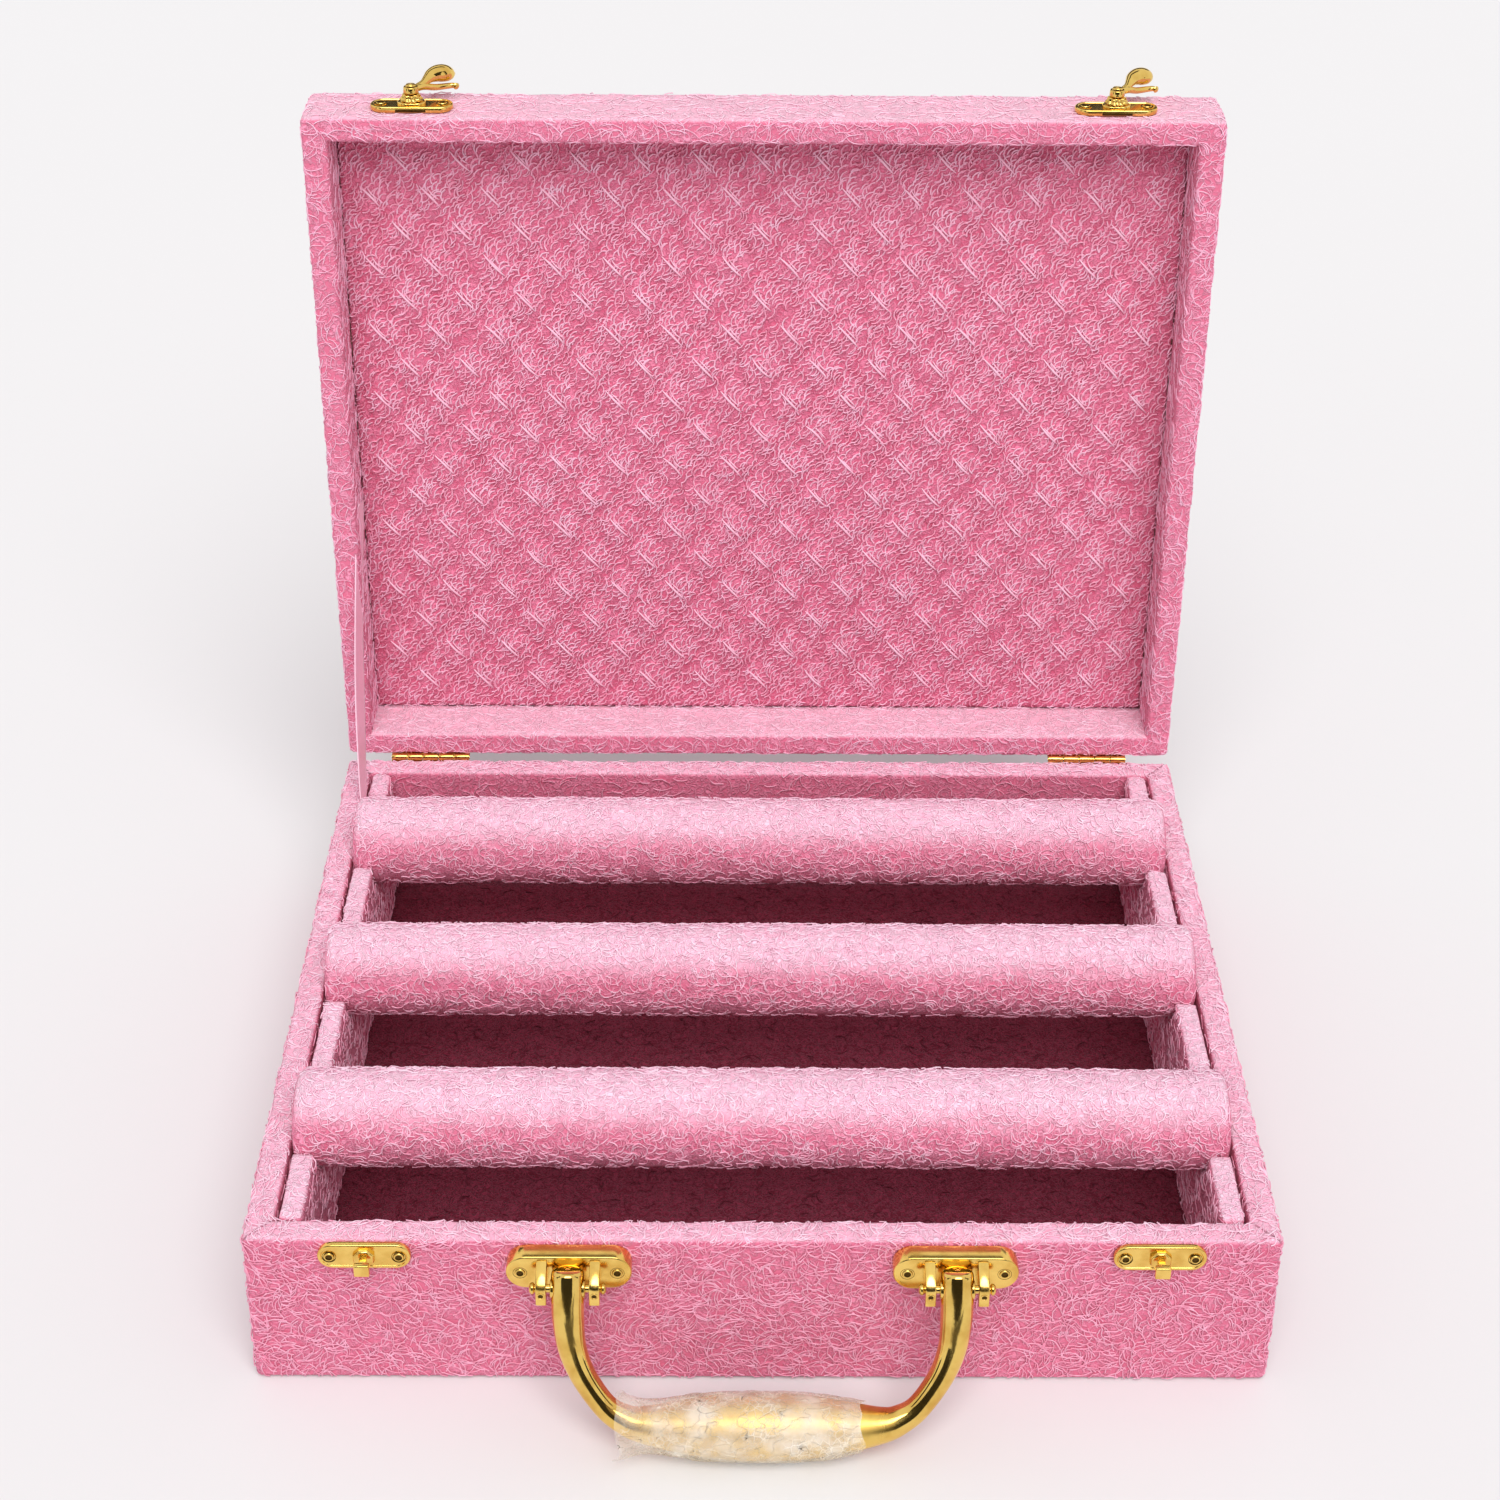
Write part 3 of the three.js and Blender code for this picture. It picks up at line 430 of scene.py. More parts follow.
def film_finish():
    """Frosted film: milky in patches, finely crackled, with gold showing through."""
    finish = Finish("frosted_film", ior=1.4, specular=0.5)
    vector = finish.coordinates()
    cloud = finish.noise(vector, 9 * MM, detail=3.0)
    cells = finish.node(
        "ShaderNodeTexVoronoi", {"feature": "DISTANCE_TO_EDGE"}, {"Vector": vector, "Scale": 1 / (2.2 * MM)})
    crackle = 1 - finish.value(cells, "Distance").step(0.0, 0.09)
    crackle = crackle * finish.noise(vector, 12 * MM, detail=1.0, shift=(0.3, 0, 0)).step(0.42, 0.6)
    line = finish.fold(vector, 6 * MM, 0.016, detail=1.0, stretch=(1, 1.6, 1.6))
    milky = finish.mixed(cloud.step(0.3, 0.7), (0.97, 0.85, 0.62), (0.99, 0.94, 0.84))
    nick = finish.fold(vector, 7 * MM, 0.012, detail=0.0, stretch=(1, 2.2, 2.2), shift=(0.07, 0, 0))
    nick = nick * finish.noise(vector, 6 * MM, detail=0.0, shift=(0.7, 0, 0)).step(0.62, 0.66)
    loose = 1 - finish.along(vector)[0].step(-44 * MM, -22 * MM)
    alpha = (0.18 + 0.24 * cloud.step(0.35, 0.7)) * (1 - 0.6 * loose)
    alpha = alpha + 0.30 * crackle + 0.22 * line + 0.6 * nick
    connect(finish.tree, alpha.least(0.9), finish.surface.inputs["Alpha"])
    shade = finish.mixed(nick, milky, (0.07, 0.035, 0.01))
    return finish.dress(shade, 0.22 + 0.2 * cloud, cloud * 0.8 + line * 0.4 + crackle * 0.2, 0.4 * MM)


def board_finish():
    finish = Finish("pressed_board")
    chip = finish.noise(finish.coordinates(), 1.5 * MM, detail=4.0)
    shade = finish.mixed(chip, (0.27, 0.17, 0.09), (0.46, 0.33, 0.2))
    return finish.dress(shade, 0.8 + 0.15 * chip, chip, 0.2 * MM, 0.5)


def foam_finish():
    finish = Finish("soft_foam")
    inputs = {"Vector": finish.coordinates(), "Scale": 1 / (0.9 * MM)}
    pore = finish.value(finish.node("ShaderNodeTexVoronoi", inputs=inputs), "Distance")
    shade = finish.mixed(pore, (0.86, 0.80, 0.66), (0.93, 0.89, 0.78))
    return finish.dress(shade, 0.85 + 0.1 * pore, pore, 0.3 * MM, 0.7)


def cloth_finish():
    """Plain weave of the cover under the case."""
    finish = Finish("underside_cloth")
    vector = finish.coordinates()
    x, y, _ = finish.along(vector)
    pitch = 0.9 * MM
    weave = (x * (TURN / pitch)).sine() * (y * (TURN / pitch)).sine() * 0.5 + 0.5
    fluff = finish.noise(vector, 4 * MM, detail=3.0)
    shade = finish.mixed(weave * 0.4 + fluff * 0.6, (0.52, 0.15, 0.24), (0.74, 0.29, 0.41))
    return finish.dress(shade, 0.82 + 0.12 * fluff, weave, 0.12 * MM, 0.6)


# Colours of the pile: ground and strand, then the same paler where it faces up, as painted light from above
wrap_tones = ((0.66, 0.135, 0.235), (0.88, 0.30, 0.45), (0.93, 0.43, 0.58), (0.99, 0.68, 0.82))
wrap_strand_tones = ((0.90, 0.33, 0.48), (0.96, 0.48, 0.64), (0.98, 0.60, 0.75), (1.0, 0.77, 0.89))
lid_tones = ((0.72, 0.145, 0.255), (0.96, 0.38, 0.55), (0.97, 0.58, 0.72), (0.99, 0.74, 0.86))
lid_strand_tones = ((0.98, 0.43, 0.60), (1.0, 0.60, 0.77), (0.99, 0.68, 0.80), (1.0, 0.80, 0.90))
lining_tones = ((0.66, 0.105, 0.205), (0.93, 0.28, 0.44), (0.97, 0.43, 0.58), (0.99, 0.62, 0.76))
lining_strand_tones = ((0.96, 0.34, 0.50), (1.0, 0.58, 0.75), (1.0, 0.48, 0.64), (1.0, 0.62, 0.77))
stroke_tones = ((1.0, 0.53, 0.69), (1.0, 0.61, 0.76), (1.0, 0.58, 0.74), (1.0, 0.70, 0.84))
roll_tones = ((0.68, 0.135, 0.24), (0.95, 0.36, 0.52), (0.94, 0.52, 0.67), (0.99, 0.74, 0.87))
roll_strand_tones = ((0.97, 0.40, 0.56), (1.0, 0.60, 0.75), (0.99, 0.64, 0.79), (1.0, 0.81, 0.92))
# The cavity floor is painted in deep dark tones: painted shade of the cavity
floor_shade_tones = ((0.12, 0.009, 0.022), (0.27, 0.035, 0.07), (0.14, 0.011, 0.027), (0.30, 0.04, 0.08))
gold = (0.86, 0.60, 0.16)
plate_gold = (0.95, 0.66, 0.18)


def mesh_object(name, points, faces, finish):
    mesh = bpy.data.meshes.new(name)
    mesh.from_pydata([tuple(p) for p in points], [], [tuple(f) for f in faces])
    mesh.update()
    made = bpy.data.objects.new(name, mesh)
    bpy.context.scene.collection.objects.link(made)
    mesh.materials.append(finish)
    mesh.polygons.foreach_set("use_smooth", [True] * len(mesh.polygons))
    return made


def rings_mesh(rings, close_round=False):
    """Points and faces that join each ring to the next. Ends are left open unless close_round joins them."""
    size = len(rings[0])
    points = [p for ring in rings for p in ring]
    faces = []
    for r in range(len(rings) if close_round else len(rings) - 1):
        here, there = r * size, (r + 1) % len(rings) * size
        for i in range(size):
            j = (i + 1) % size
            faces.append((here + i, here + j, there + j, there + i))
    return points, faces


def grid_faces(across, down):
    """Faces of a grid whose points lie in rows of across + 1."""
    size = across + 1
    corners = [j * size + i for j in range(down) for i in range(across)]
    return [(a, a + 1, a + size + 1, a + size) for a in corners]


def grid_rim(across, down):
    """Points round such a grid, in order."""
    size = across + 1
    rim = list(range(across)) + [j * size + across for j in range(down)]
    return rim + [down * size + across - i for i in range(across)] + [(down - j) * size for j in range(down)]


def panel(points, across, down, back):
    """A grid of points closed by a flat back. back gives the place behind a point of the rim."""
    faces = grid_faces(across, down)
    rim = grid_rim(across, down)
    first = len(points)
    for i in range(len(rim)):
        j = (i + 1) % len(rim)
        faces.append((rim[j], rim[i], first + i, first + j))
    faces.append(tuple(range(first, first + len(rim))))
    return points + [back(points[r]) for r in rim], faces


def outwards(thing, crease=None):
    """Turns every face of a closed mesh outwards. Edges steeper than crease degrees stay crisp."""
    mesh = bmesh.new()
    mesh.from_mesh(thing.data)
    bmesh.ops.remove_doubles(mesh, verts=mesh.verts, dist=0.002 * MM)
    bmesh.ops.recalc_face_normals(mesh, faces=mesh.faces)
    mesh.to_mesh(thing.data)
    mesh.free()
    if crease is not None:
        thing.data.set_sharp_from_angle(angle=math.radians(crease))
    return thing


def pushed(thing, amount, grain, seed, keep=None):
    """Moves the points of a mesh along their normals by smooth noise."""
    mesh = thing.data
    mesh.update()
    shift = Vector((seed, seed * 1.7, -seed))
    changes = []
    for vertex in mesh.vertices:
        share = 1 if keep is None else keep(vertex.co)
        wave = noise.noise(vertex.co / grain + shift) + 0.5 * noise.noise(vertex.co / grain * 2.3 + shift)
        changes.append(vertex.co + vertex.normal * (wave * amount * share))
    mesh.vertices.foreach_set("co", [c for place in changes for c in place])
    mesh.update()
    return thing


def made_plain(thing):
    """Puts an object's evaluated mesh in its place, with no modifier left."""
    bpy.context.view_layer.update()
    live = thing.evaluated_get(bpy.context.evaluated_depsgraph_get())
    mesh = bpy.data.meshes.new_from_object(live)
    old = thing.data
    thing.modifiers.clear()
    thing.data = mesh
    mesh.name = thing.name
    bpy.data.meshes.remove(old)
    return thing


def store_normals(thing):
    """Keeps each point's normal at rest with the mesh, for the materials and the strands."""
    mesh = thing.data
    mesh.update()
    layer = mesh.attributes.new("surface_normal", "FLOAT_VECTOR", "POINT")
    layer.data.foreach_set("vector", [c for normal in mesh.vertex_normals for c in normal.vector])


def finished(thing, body, slot, *nodes):
    """Last calls on a piece: its normals kept when its slot is a plush one, what it rides on, and the frame's
    solids that it stands for, which are hidden.
    """
    if "plush" in slot and "surface_normal" not in thing.data.attributes:
        store_normals(thing)
    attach(thing, body)
    if nodes:
        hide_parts(*nodes)
    return thing


def even_steps(start, stop, step):
    count = max(1, round(abs(stop - start) / step))
    return [start + (stop - start) * i / count for i in range(count + 1)]


def case_ring(inset, radius, height):
    """Level ring round the case, with the same number of points at every inset."""
    x, y = half_width - inset - radius, half_depth - inset - radius
    centres = ((x, y), (-x, y), (-x, -y), (x, -y))
    steps_across = max(2, round(2 * half_width / skin_step))
    steps_deep = max(2, round(2 * half_depth / skin_step))
    corner_steps = 4
    ring = []
    for quarter, (cx, cy) in enumerate(centres):
        for i in range(corner_steps + 1):
            angle = (quarter + i / corner_steps) * TURN / 4
            ring.append((cx + radius * math.cos(angle), cy + radius * math.sin(angle), height))
        last = ring[-1]
        angle = (quarter + 1) * TURN / 4
        nx, ny = centres[(quarter + 1) % 4]
        end = (nx + radius * math.cos(angle), ny + radius * math.sin(angle))
        steps = steps_deep if quarter % 2 else steps_across
        for i in range(1, steps):
            share = i / steps
            ring.append((last[0] + (end[0] - last[0]) * share, last[1] + (end[1] - last[1]) * share, height))
    return ring


def wall_rings(height, foot, inside):
    """The skin over four walls as rings: under the foot, up, over the rim, down inside, and back within."""
    def outer(inset, z):
        return case_ring(inset, max(corner_radius - inset, inner_radius), z)

    def inner(inset, z):
        return case_ring(inset, inner_radius, z)

    def arc(inset, z, start):
        turns = [start - i / 4 * TURN / 4 for i in range(5)]
        return [outer(inset + rim_radius * math.cos(a), z + rim_radius * math.sin(a)) for a in turns]

    rings = [outer(inset, foot) for inset in even_steps(hem_width, rim_radius, skin_step)[:-1]]
    rings += arc(rim_radius, foot + rim_radius, 0.75 * TURN)
    rings += [outer(0, z) for z in even_steps(foot + rim_radius, height - rim_radius, skin_step)[1:-1]]
    rings += arc(rim_radius, height - rim_radius, 0.5 * TURN)
    rings += [outer(wall / 2, height)]
    rings += arc(wall - rim_radius, height - rim_radius, 0.25 * TURN)
    rings += [inner(wall, z) for z in even_steps(height - rim_radius, inside, skin_step)[1:]]
    rings += [inner(wall - skin, inside), inner(wall - skin, height - skin), inner(skin, height - skin)]
    return rings + [inner(skin, foot + skin), inner(hem_width, foot + skin)]


# The shut lid is modelled over the base, then swung open about the hinge line
to_hinge = Matrix.Translation(hinge_line)
swing_open = to_hinge @ Matrix.Rotation(-TURN / 4, 4, "X") @ Matrix.Translation(-hinge_line)


def base_skin(finish):
    rings = wall_rings(base_height, hem_lift, base_skin_foot)
    thing = outwards(mesh_object("base_plush_wrap", *rings_mesh(rings, close_round=True), finish))
    pushed(thing, *skin_ripple, 3.1, lambda place: 0 if place.z < 1.6 * MM else 1)
    return finished(thing, "base", "plush", "base_wrap")


def lid_skin(finish):
    rings = wall_rings(lid_height, 0, lid_skin_foot)
    points, faces = rings_mesh(rings)
    size = len(rings[0])
    faces += capped_sheet(points, 0, size, skin_step)
    faces += capped_sheet(points, (len(rings) - 1) * size, size, 4 * skin_step)
    thing = mesh_object("lid_plush_wrap", points, faces, finish)
    over = Matrix.Translation((0, 0, lid_top)) @ Matrix.Diagonal((1, 1, -1, 1))
    thing.data.transform(swing_open @ over)
    pushed(outwards(thing), *skin_ripple, 5.7)
    return finished(thing, "lid", "plush", "lid_wrap")


def capped_sheet(points, start, size, step):
    """Faces across a ring that already lies in points, in rings that shrink to a middle line."""
    ring = [Vector(points[start + i]) for i in range(size)]
    reach = max(abs(p.y) for p in ring)
    wide = max(abs(p.x) for p in ring)
    levels = max(2, round(reach / step))
    faces = []
    before = list(range(start, start + size))
    for level in range(1, levels + 1):
        left = 1 - level / levels
        drawn = wide - (1 - left) * reach
        first = len(points)
        points += [(p.x * drawn / wide, p.y * left, p.z) for p in ring]
        after = list(range(first, first + size))
        for i in range(size):
            j = (i + 1) % size
            faces.append((before[j], before[i], after[i], after[j]))
        before = after
    return faces


def quilt_crown(x, z):
    """How far up a raised diamond of the lining a place lies, from 0 in a channel to 1."""
    u = (x - lining_low.x) / lining_width * diamonds_across
    v = (z - lining_low.z) / lining_length * diamonds_down
    return abs(math.sin(math.pi * (u + v)) * math.sin(math.pi * (u - v))) ** 0.7


def lid_lining(finish):
    """Quilted panel: raised diamonds between crossing channels, with the back flat."""
    across, down = round(lining_width / (1.5 * MM)), round(lining_length / (1.5 * MM))
    back_y = lining_high.y
    points, crowns = [], []
    for j in range(down + 1):
        for i in range(across + 1):
            x, z = lining_low.x + lining_width * i / across, lining_low.z + lining_length * j / down
            crown = quilt_crown(x, z)
            edge = min(1, min(i, j, across - i, down - j) / 4)
            height = lining_flat + lining_relief * crown * edge
            ripple = noise.noise(Vector((x, 0, z)) / (4 * MM)) * 0.15 * MM * edge
            points.append((x, back_y - height - ripple, z))
            crowns.append(crown)
    points, faces = panel(points, across, down, lambda place: (place[0], back_y, place[2]))
    thing = mesh_object("lid_quilted_lining", points, faces, finish)
    layer = thing.data.attributes.new("raised_share", "FLOAT", "POINT")
    layer.data.foreach_set("value", crowns + [0.0] * (len(points) - len(crowns)))
    outwards(thing)
    return finished(thing, "lid", "plush", "lid_lining_panel")


def floor_lining(finish):
    low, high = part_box("base_floor_lining")
    across, down = 48, 40
    points = []
    for j in range(down + 1):
        for i in range(across + 1):
            x, y = low.x + (high.x - low.x) * i / across, low.y + (high.y - low.y) * j / down
            edge = min(1, min(i, j, across - i, down - j) / 2)
            wave = noise.noise(Vector((x, y, 0)) / (11 * MM)) * 0.3 * MM * edge
            points.append((x, y, high.z - 0.3 * MM + wave))
    points, faces = panel(points, across, down, lambda place: (place[0], place[1], low.z))
    thing = outwards(mesh_object("floor_plush_lining", points, faces, finish))
    return finished(thing, "base", "pale_plush", "base_floor_lining")


def roll_cover(name, finish, seed):
    """Plush sleeve over a foam roll: lumpy, rounded at the ends and gathered to a small hole."""
    low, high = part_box(f"{name}_cover")
    centre = (low + high) / 2
    half = (high.x - low.x) / 2 - 0.6 * MM
    sides = 56
    edge = 3 * MM
    hole = 5.5 * MM
    stations = [(-half, hole), (-half, roll_radius * 0.6), (-half, roll_radius - edge)]
    stations += [
        (-half + edge * (1 - math.cos(a)), roll_radius - edge * (1 - math.sin(a)))
        for a in (TURN / 16, TURN / 8, 3 * TURN / 16, TURN / 4)
    ]
    stations += [(x, roll_radius) for x in even_steps(-half + edge, 0, 2.2 * MM)[1:]]
    stations += [(-x, r) for x, r in reversed(stations[:-1])]
    inner = roll_radius - skin
    back = [(half - skin, hole), (half - skin, inner - edge), (half - skin - edge, inner)]
    stations += back + [(-x, r) for x, r in reversed(back)]
    rings = []
    for x, radius in stations:
        ring = []
        outer = radius > inner or abs(x) > half - skin / 2
        at_end = abs(x) >= half - 0.1 * MM
        for k in range(sides):
            angle = k / sides * TURN
            place = Vector((x, radius * math.cos(angle), radius * math.sin(angle)))
            lump = noise.noise(place / (9 * MM) + Vector((seed, 0, 0))) * 0.35 * MM
            lump += noise.noise(place / (3.5 * MM) + Vector((0, seed, 0))) * 0.16 * MM
            grown = radius + (lump - 0.3 * MM if outer and not at_end else 0)
            gather = abs(math.cos(9 * angle + seed) * 0.3 * MM) if outer and at_end else 0
            along = x - math.copysign(gather, x)
            away = (along, grown * math.cos(angle), grown * math.sin(angle))
            ring.append(tuple(c + a for c, a in zip(centre, away)))
        rings.append(ring)
    points, faces = rings_mesh(rings, close_round=True)
    thing = outwards(mesh_object(f"{name}_plush_sleeve", points, faces, finish))
    return finished(thing, name, "pale_plush", f"{name}_cover")


def roll_rest(side, finish):
    """Padded rest: the frame's notched solid, softened all round."""
    node = f"roll_rest_{side}"
    thing = bpy.data.objects.new(f"{node}_pad", frame["nodes"][node].data.copy())
    thing.data.materials.clear()
    bpy.context.scene.collection.objects.link(thing)
    outwards(thing)
    remesh = thing.modifiers.new("even", "REMESH")
    remesh.mode = "VOXEL"
    remesh.voxel_size = 1.05 * MM
    soften = thing.modifiers.new("soften", "SMOOTH")
    soften.factor = 0.6
    soften.iterations = 6
    made_plain(thing)
    thing.data.materials.append(finish)
    thing.data.polygons.foreach_set("use_smooth", [True] * len(thing.data.polygons))
    low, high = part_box(node)

    def free(place):
        sides = min(place.x - low.x, high.x - place.x) / MM
        return 1 if place.z > high.z - 1.5 * MM or sides < 0.5 else 0.2

    pushed(thing, 0.25 * MM, 5 * MM, 8.3, free)
    return finished(thing, "base", "pale_plush", node)


def strand_tree():
    """Strands scattered over a surface: a bent arc at each point, waved by noise and laid on the surface."""
    tree = bpy.data.node_groups.new("scattered_strands", "GeometryNodeTree")
    face = tree.interface
    face.new_socket("Geometry", in_out="INPUT", socket_type="NodeSocketGeometry")
    defaults = {
        "Density": 1.0e5, "Length": 6.0 * MM, "Bend": 2.2, "Thickness": 0.22 * MM, "Spread": TURN,
        "Lift": 0.1 * MM, "Fluff": 0.4 * MM, "Wave": 1.5 * MM, "Apart": 0.0,
    }
    for name, value in defaults.items():
        face.new_socket(name, in_out="INPUT", socket_type="NodeSocketFloat").default_value = value
    face.new_socket("Steps", in_out="INPUT", socket_type="NodeSocketInt").default_value = 7
    face.new_socket("Seed", in_out="INPUT", socket_type="NodeSocketInt")
    face.new_socket("Finish", in_out="INPUT", socket_type="NodeSocketMaterial")
    face.new_socket("Geometry", in_out="OUTPUT", socket_type="NodeSocketGeometry")
    build = Nodes(tree)
    node = build.node
    given = node("NodeGroupInput").outputs
    asked = {name: Value(tree, given[name]) for name in defaults}

    def chance(low, high):
        made = node("FunctionNodeRandomValue", {"data_type": "FLOAT"}, {"Seed": given["Seed"]})
        for key, item in (("Min_001", low), ("Max_001", high)):
            connect(tree, item, next(s for s in made.inputs if s.identifier == key))
        return Value(tree, next(s for s in made.outputs if s.identifier == "Value_001"))

    def stored(name, kind):
        made = node("GeometryNodeInputNamedAttribute", {"data_type": kind}, {"Name": name})
        return next(s for s in made.outputs if s.name == "Attribute" and s.enabled)

    scattered = node("GeometryNodeDistributePointsOnFaces", {"distribute_method": "POISSON"}, {
        "Mesh": given["Geometry"], "Distance Min": given["Apart"], "Density Max": given["Density"],
        "Density Factor": stored("strand_share", "FLOAT"), "Seed": given["Seed"]})
    led = node("FunctionNodeAlignRotationToVector", {"axis": "X", "pivot_axis": "Z"}, {
        "Rotation": scattered.outputs["Rotation"], "Vector": stored("strand_way", "FLOAT_VECTOR")})
    spin = node("ShaderNodeCombineXYZ", inputs={2: chance(-0.5, 0.5) * asked["Spread"]})
    as_turn = node("FunctionNodeEulerToRotation", inputs={0: spin.outputs[0]})
    turned_way = node("FunctionNodeRotateRotation", {"rotation_space": "LOCAL"}, {
        0: led.outputs[0], 1: as_turn.outputs[0]})
    radius = asked["Length"] / asked["Bend"]
    arc = node("GeometryNodeCurveArc", {"mode": "RADIUS"}, {
        "Resolution": given["Steps"], "Radius": radius,
        "Start Angle": 0.25 * TURN - asked["Bend"] * 0.5, "Sweep Angle": given["Bend"]})
    back = node("ShaderNodeCombineXYZ", inputs={1: radius * -1})
    centred_arc = node("GeometryNodeTransform", inputs={
        "Geometry": arc.outputs["Curve"], "Translation": back.outputs[0]})
    placed = node("GeometryNodeInstanceOnPoints", inputs={
        "Points": scattered.outputs["Points"], "Instance": centred_arc.outputs[0],
        "Rotation": turned_way.outputs[0], "Scale": chance(0.65, 1.2)})
    real = node("GeometryNodeRealizeInstances", inputs={0: placed.outputs[0]})
    position = node("GeometryNodeInputPosition").outputs[0]
    waved = node("GeometryNodeSetPosition", inputs={
        "Geometry": real.outputs[0], "Offset": build.stray(position, 1.8 * MM, 0.0, given["Wave"])})
    near = node("GeometryNodeProximity", {"target_element": "FACES"}, {0: given["Geometry"]})
    pile = node("ShaderNodeTexNoise", inputs={"Vector": position, "Scale": 1 / (2.5 * MM), "Detail": 0.0})
    rise = asked["Lift"] + build.value(pile).step(0.3, 0.75) * asked["Fluff"]
    raised = build.vector("SCALE", stored("surface_normal", "FLOAT_VECTOR"), scale=rise)
    laid = node("GeometryNodeSetPosition", inputs={
        "Geometry": waved.outputs[0], "Position": build.vector("ADD", near.outputs[0], raised)})
    profile = node("GeometryNodeCurvePrimitiveCircle", {"mode": "RADIUS"}, {
        "Resolution": 3, "Radius": given["Thickness"]})
    tube = node("GeometryNodeCurveToMesh", inputs={
        "Curve": laid.outputs[0], "Profile Curve": profile.outputs[0], "Fill Caps": True})
    smooth = node("GeometryNodeSetShadeSmooth", inputs={0: tube.outputs[0]})
    painted = node("GeometryNodeSetMaterial", inputs={0: smooth.outputs[0], "Material": given["Finish"]})
    node("NodeGroupOutput", inputs={0: painted.outputs[0]})
    return tree


def strands(name, surface, body, slot, finish, share, density, seed, way, sizes):
    """Loose strands on one surface. share says for a face how thick they lie, way where they point."""
    mesh = surface.data.copy()
    holder = bpy.data.objects.new(name, mesh)
    bpy.context.scene.collection.objects.link(holder)
    layer = mesh.attributes.new("strand_share", "FLOAT", "FACE")
    layer.data.foreach_set("value", [float(share(face.center, face.normal)) for face in mesh.polygons])
    layer = mesh.attributes.new("strand_way", "FLOAT_VECTOR", "FACE")
    if way is not None:
        layer.data.foreach_set("vector", [c for face in mesh.polygons for c in way(face.center)])
    live = holder.modifiers.new("strands", "NODES")
    live.node_group = strands_tree
    names = {item.name: item.identifier for item in strands_tree.interface.items_tree if item.in_out == "INPUT"}
    for key, value in {"Density": density, "Seed": seed, "Finish": finish, **sizes}.items():
        live[names[key]] = value
    return finished(made_plain(holder), body, slot)


def front_place(x, z, open_lid=False):
    """Where a fitting made flat, +Z outwards and +Y up the face, goes on the front."""
    shut = Matrix.Translation((x, -half_depth, z)) @ Matrix.Rotation(TURN / 4, 4, "X")
    return swing_open @ shut if open_lid else shut


def moved(part, matrix):
    points, faces = part
    return [matrix @ Vector(p) for p in points], faces


def joined(name, parts, finish, place=None, dark_parts=0):
    """One object out of several closed parts, the last few of them in the painted recess shade. With a place,
    they are in mm.
    """
    points, faces = [], []
    for more_points, more_faces in parts:
        faces += [tuple(i + len(points) for i in face) for face in more_faces]
        points += [place @ (Vector(p) * MM) for p in more_points] if place else list(more_points)
    thing = mesh_object(name, points, faces, finish)
    if dark_parts:
        thing.data.materials.append(recess_shade)
        for face in thing.data.polygons[-sum(len(part[1]) for part in parts[-dark_parts:]):]:
            face.material_index = 1
    return outwards(thing, 38 if place else None)


def turned(profile, sides=40):
    """A turned part about Z. Profile points are (radius, height), from the axis or round a ring."""
    angles = [k / sides * TURN for k in range(sides)]
    return rings_mesh([[(r * math.cos(a), r * math.sin(a), height) for a in angles] for r, height in profile])


def rounded(points, bend, steps=3):
    """Rounds the inner corners of an open profile by the size bend."""
    found = [Vector(points[0])]
    for before, here, after in zip(points, points[1:], points[2:]):
        before, here, after = Vector(before), Vector(here), Vector(after)
        into, out = before - here, after - here
        cut = min(bend, into.length * 0.45, out.length * 0.45)
        start, end = here + into.normalized() * cut, here + out.normalized() * cut
        for i in range(steps + 1):
            t = i / steps
            found.append(start * (1 - t) ** 2 + here * (2 * t * (1 - t)) + end * t ** 2)
    return found + [Vector(points[-1])]


def lathed(points, bend, sides, base=0.0):
    """A turned part with softened corners, its heights counted from base."""
    return turned(rounded([(radius, base + height) for radius, height in points], bend), sides)


def tube(inner, outer, start, stop):
    """Profile of a ring with a square section."""
    return [(inner, start), (outer, start), (outer, stop), (inner, stop), (inner, start)]


def round_end_plate(length, width, top, start=fit_gap, sides=16, raised=0.0):
    """Plate with round ends and softened edges, from start up to top, with an optional raised border."""
    end = (length - width) / 2

    def ring(radius, height):
        points = []
        for middle, turn in ((end, -TURN / 4), (-end, TURN / 4)):
            for k in range(sides + 1):
                angle = turn + k / sides * TURN / 2
                points.append((middle + radius * math.cos(angle), radius * math.sin(angle), height))
        return points

    half, edge = width / 2, plate_edge
    low = [(math.sin(a), 1 - math.cos(a)) for a in (TURN / 12, TURN / 6, TURN / 4)]
    high = [(1 - math.cos(a), 1 - math.sin(a)) for a in (0, TURN / 12, TURN / 6, TURN / 4)]
    levels = [(half * 0.3, start), (half - edge, start)]
    levels += [(half - edge + edge * a, start + edge * b) for a, b in low]
    levels += [(half - edge * a, top - edge * b) for a, b in high]
    if raised:
        sunk = top - raised
        levels += [(half - edge * 2.0, top), (half - edge * 2.4, sunk), (half - edge * 3.2, sunk)]
    levels += [(half * 0.3, levels[-1][1])]
    rings = [ring(r, z) for r, z in levels]
    points, faces = rings_mesh(rings)
    size = len(rings[0])
    faces.append(tuple(reversed(range(size))))
    faces.append(tuple((len(rings) - 1) * size + i for i in range(size)))
    return points, faces


def part_of(mesh):
    """Points in millimetres and faces of a mesh that was made in metres."""
    mesh.verts.index_update()
    part = [v.co / MM for v in mesh.verts], [tuple(v.index for v in f.verts) for f in mesh.faces]
    mesh.free()
    return part


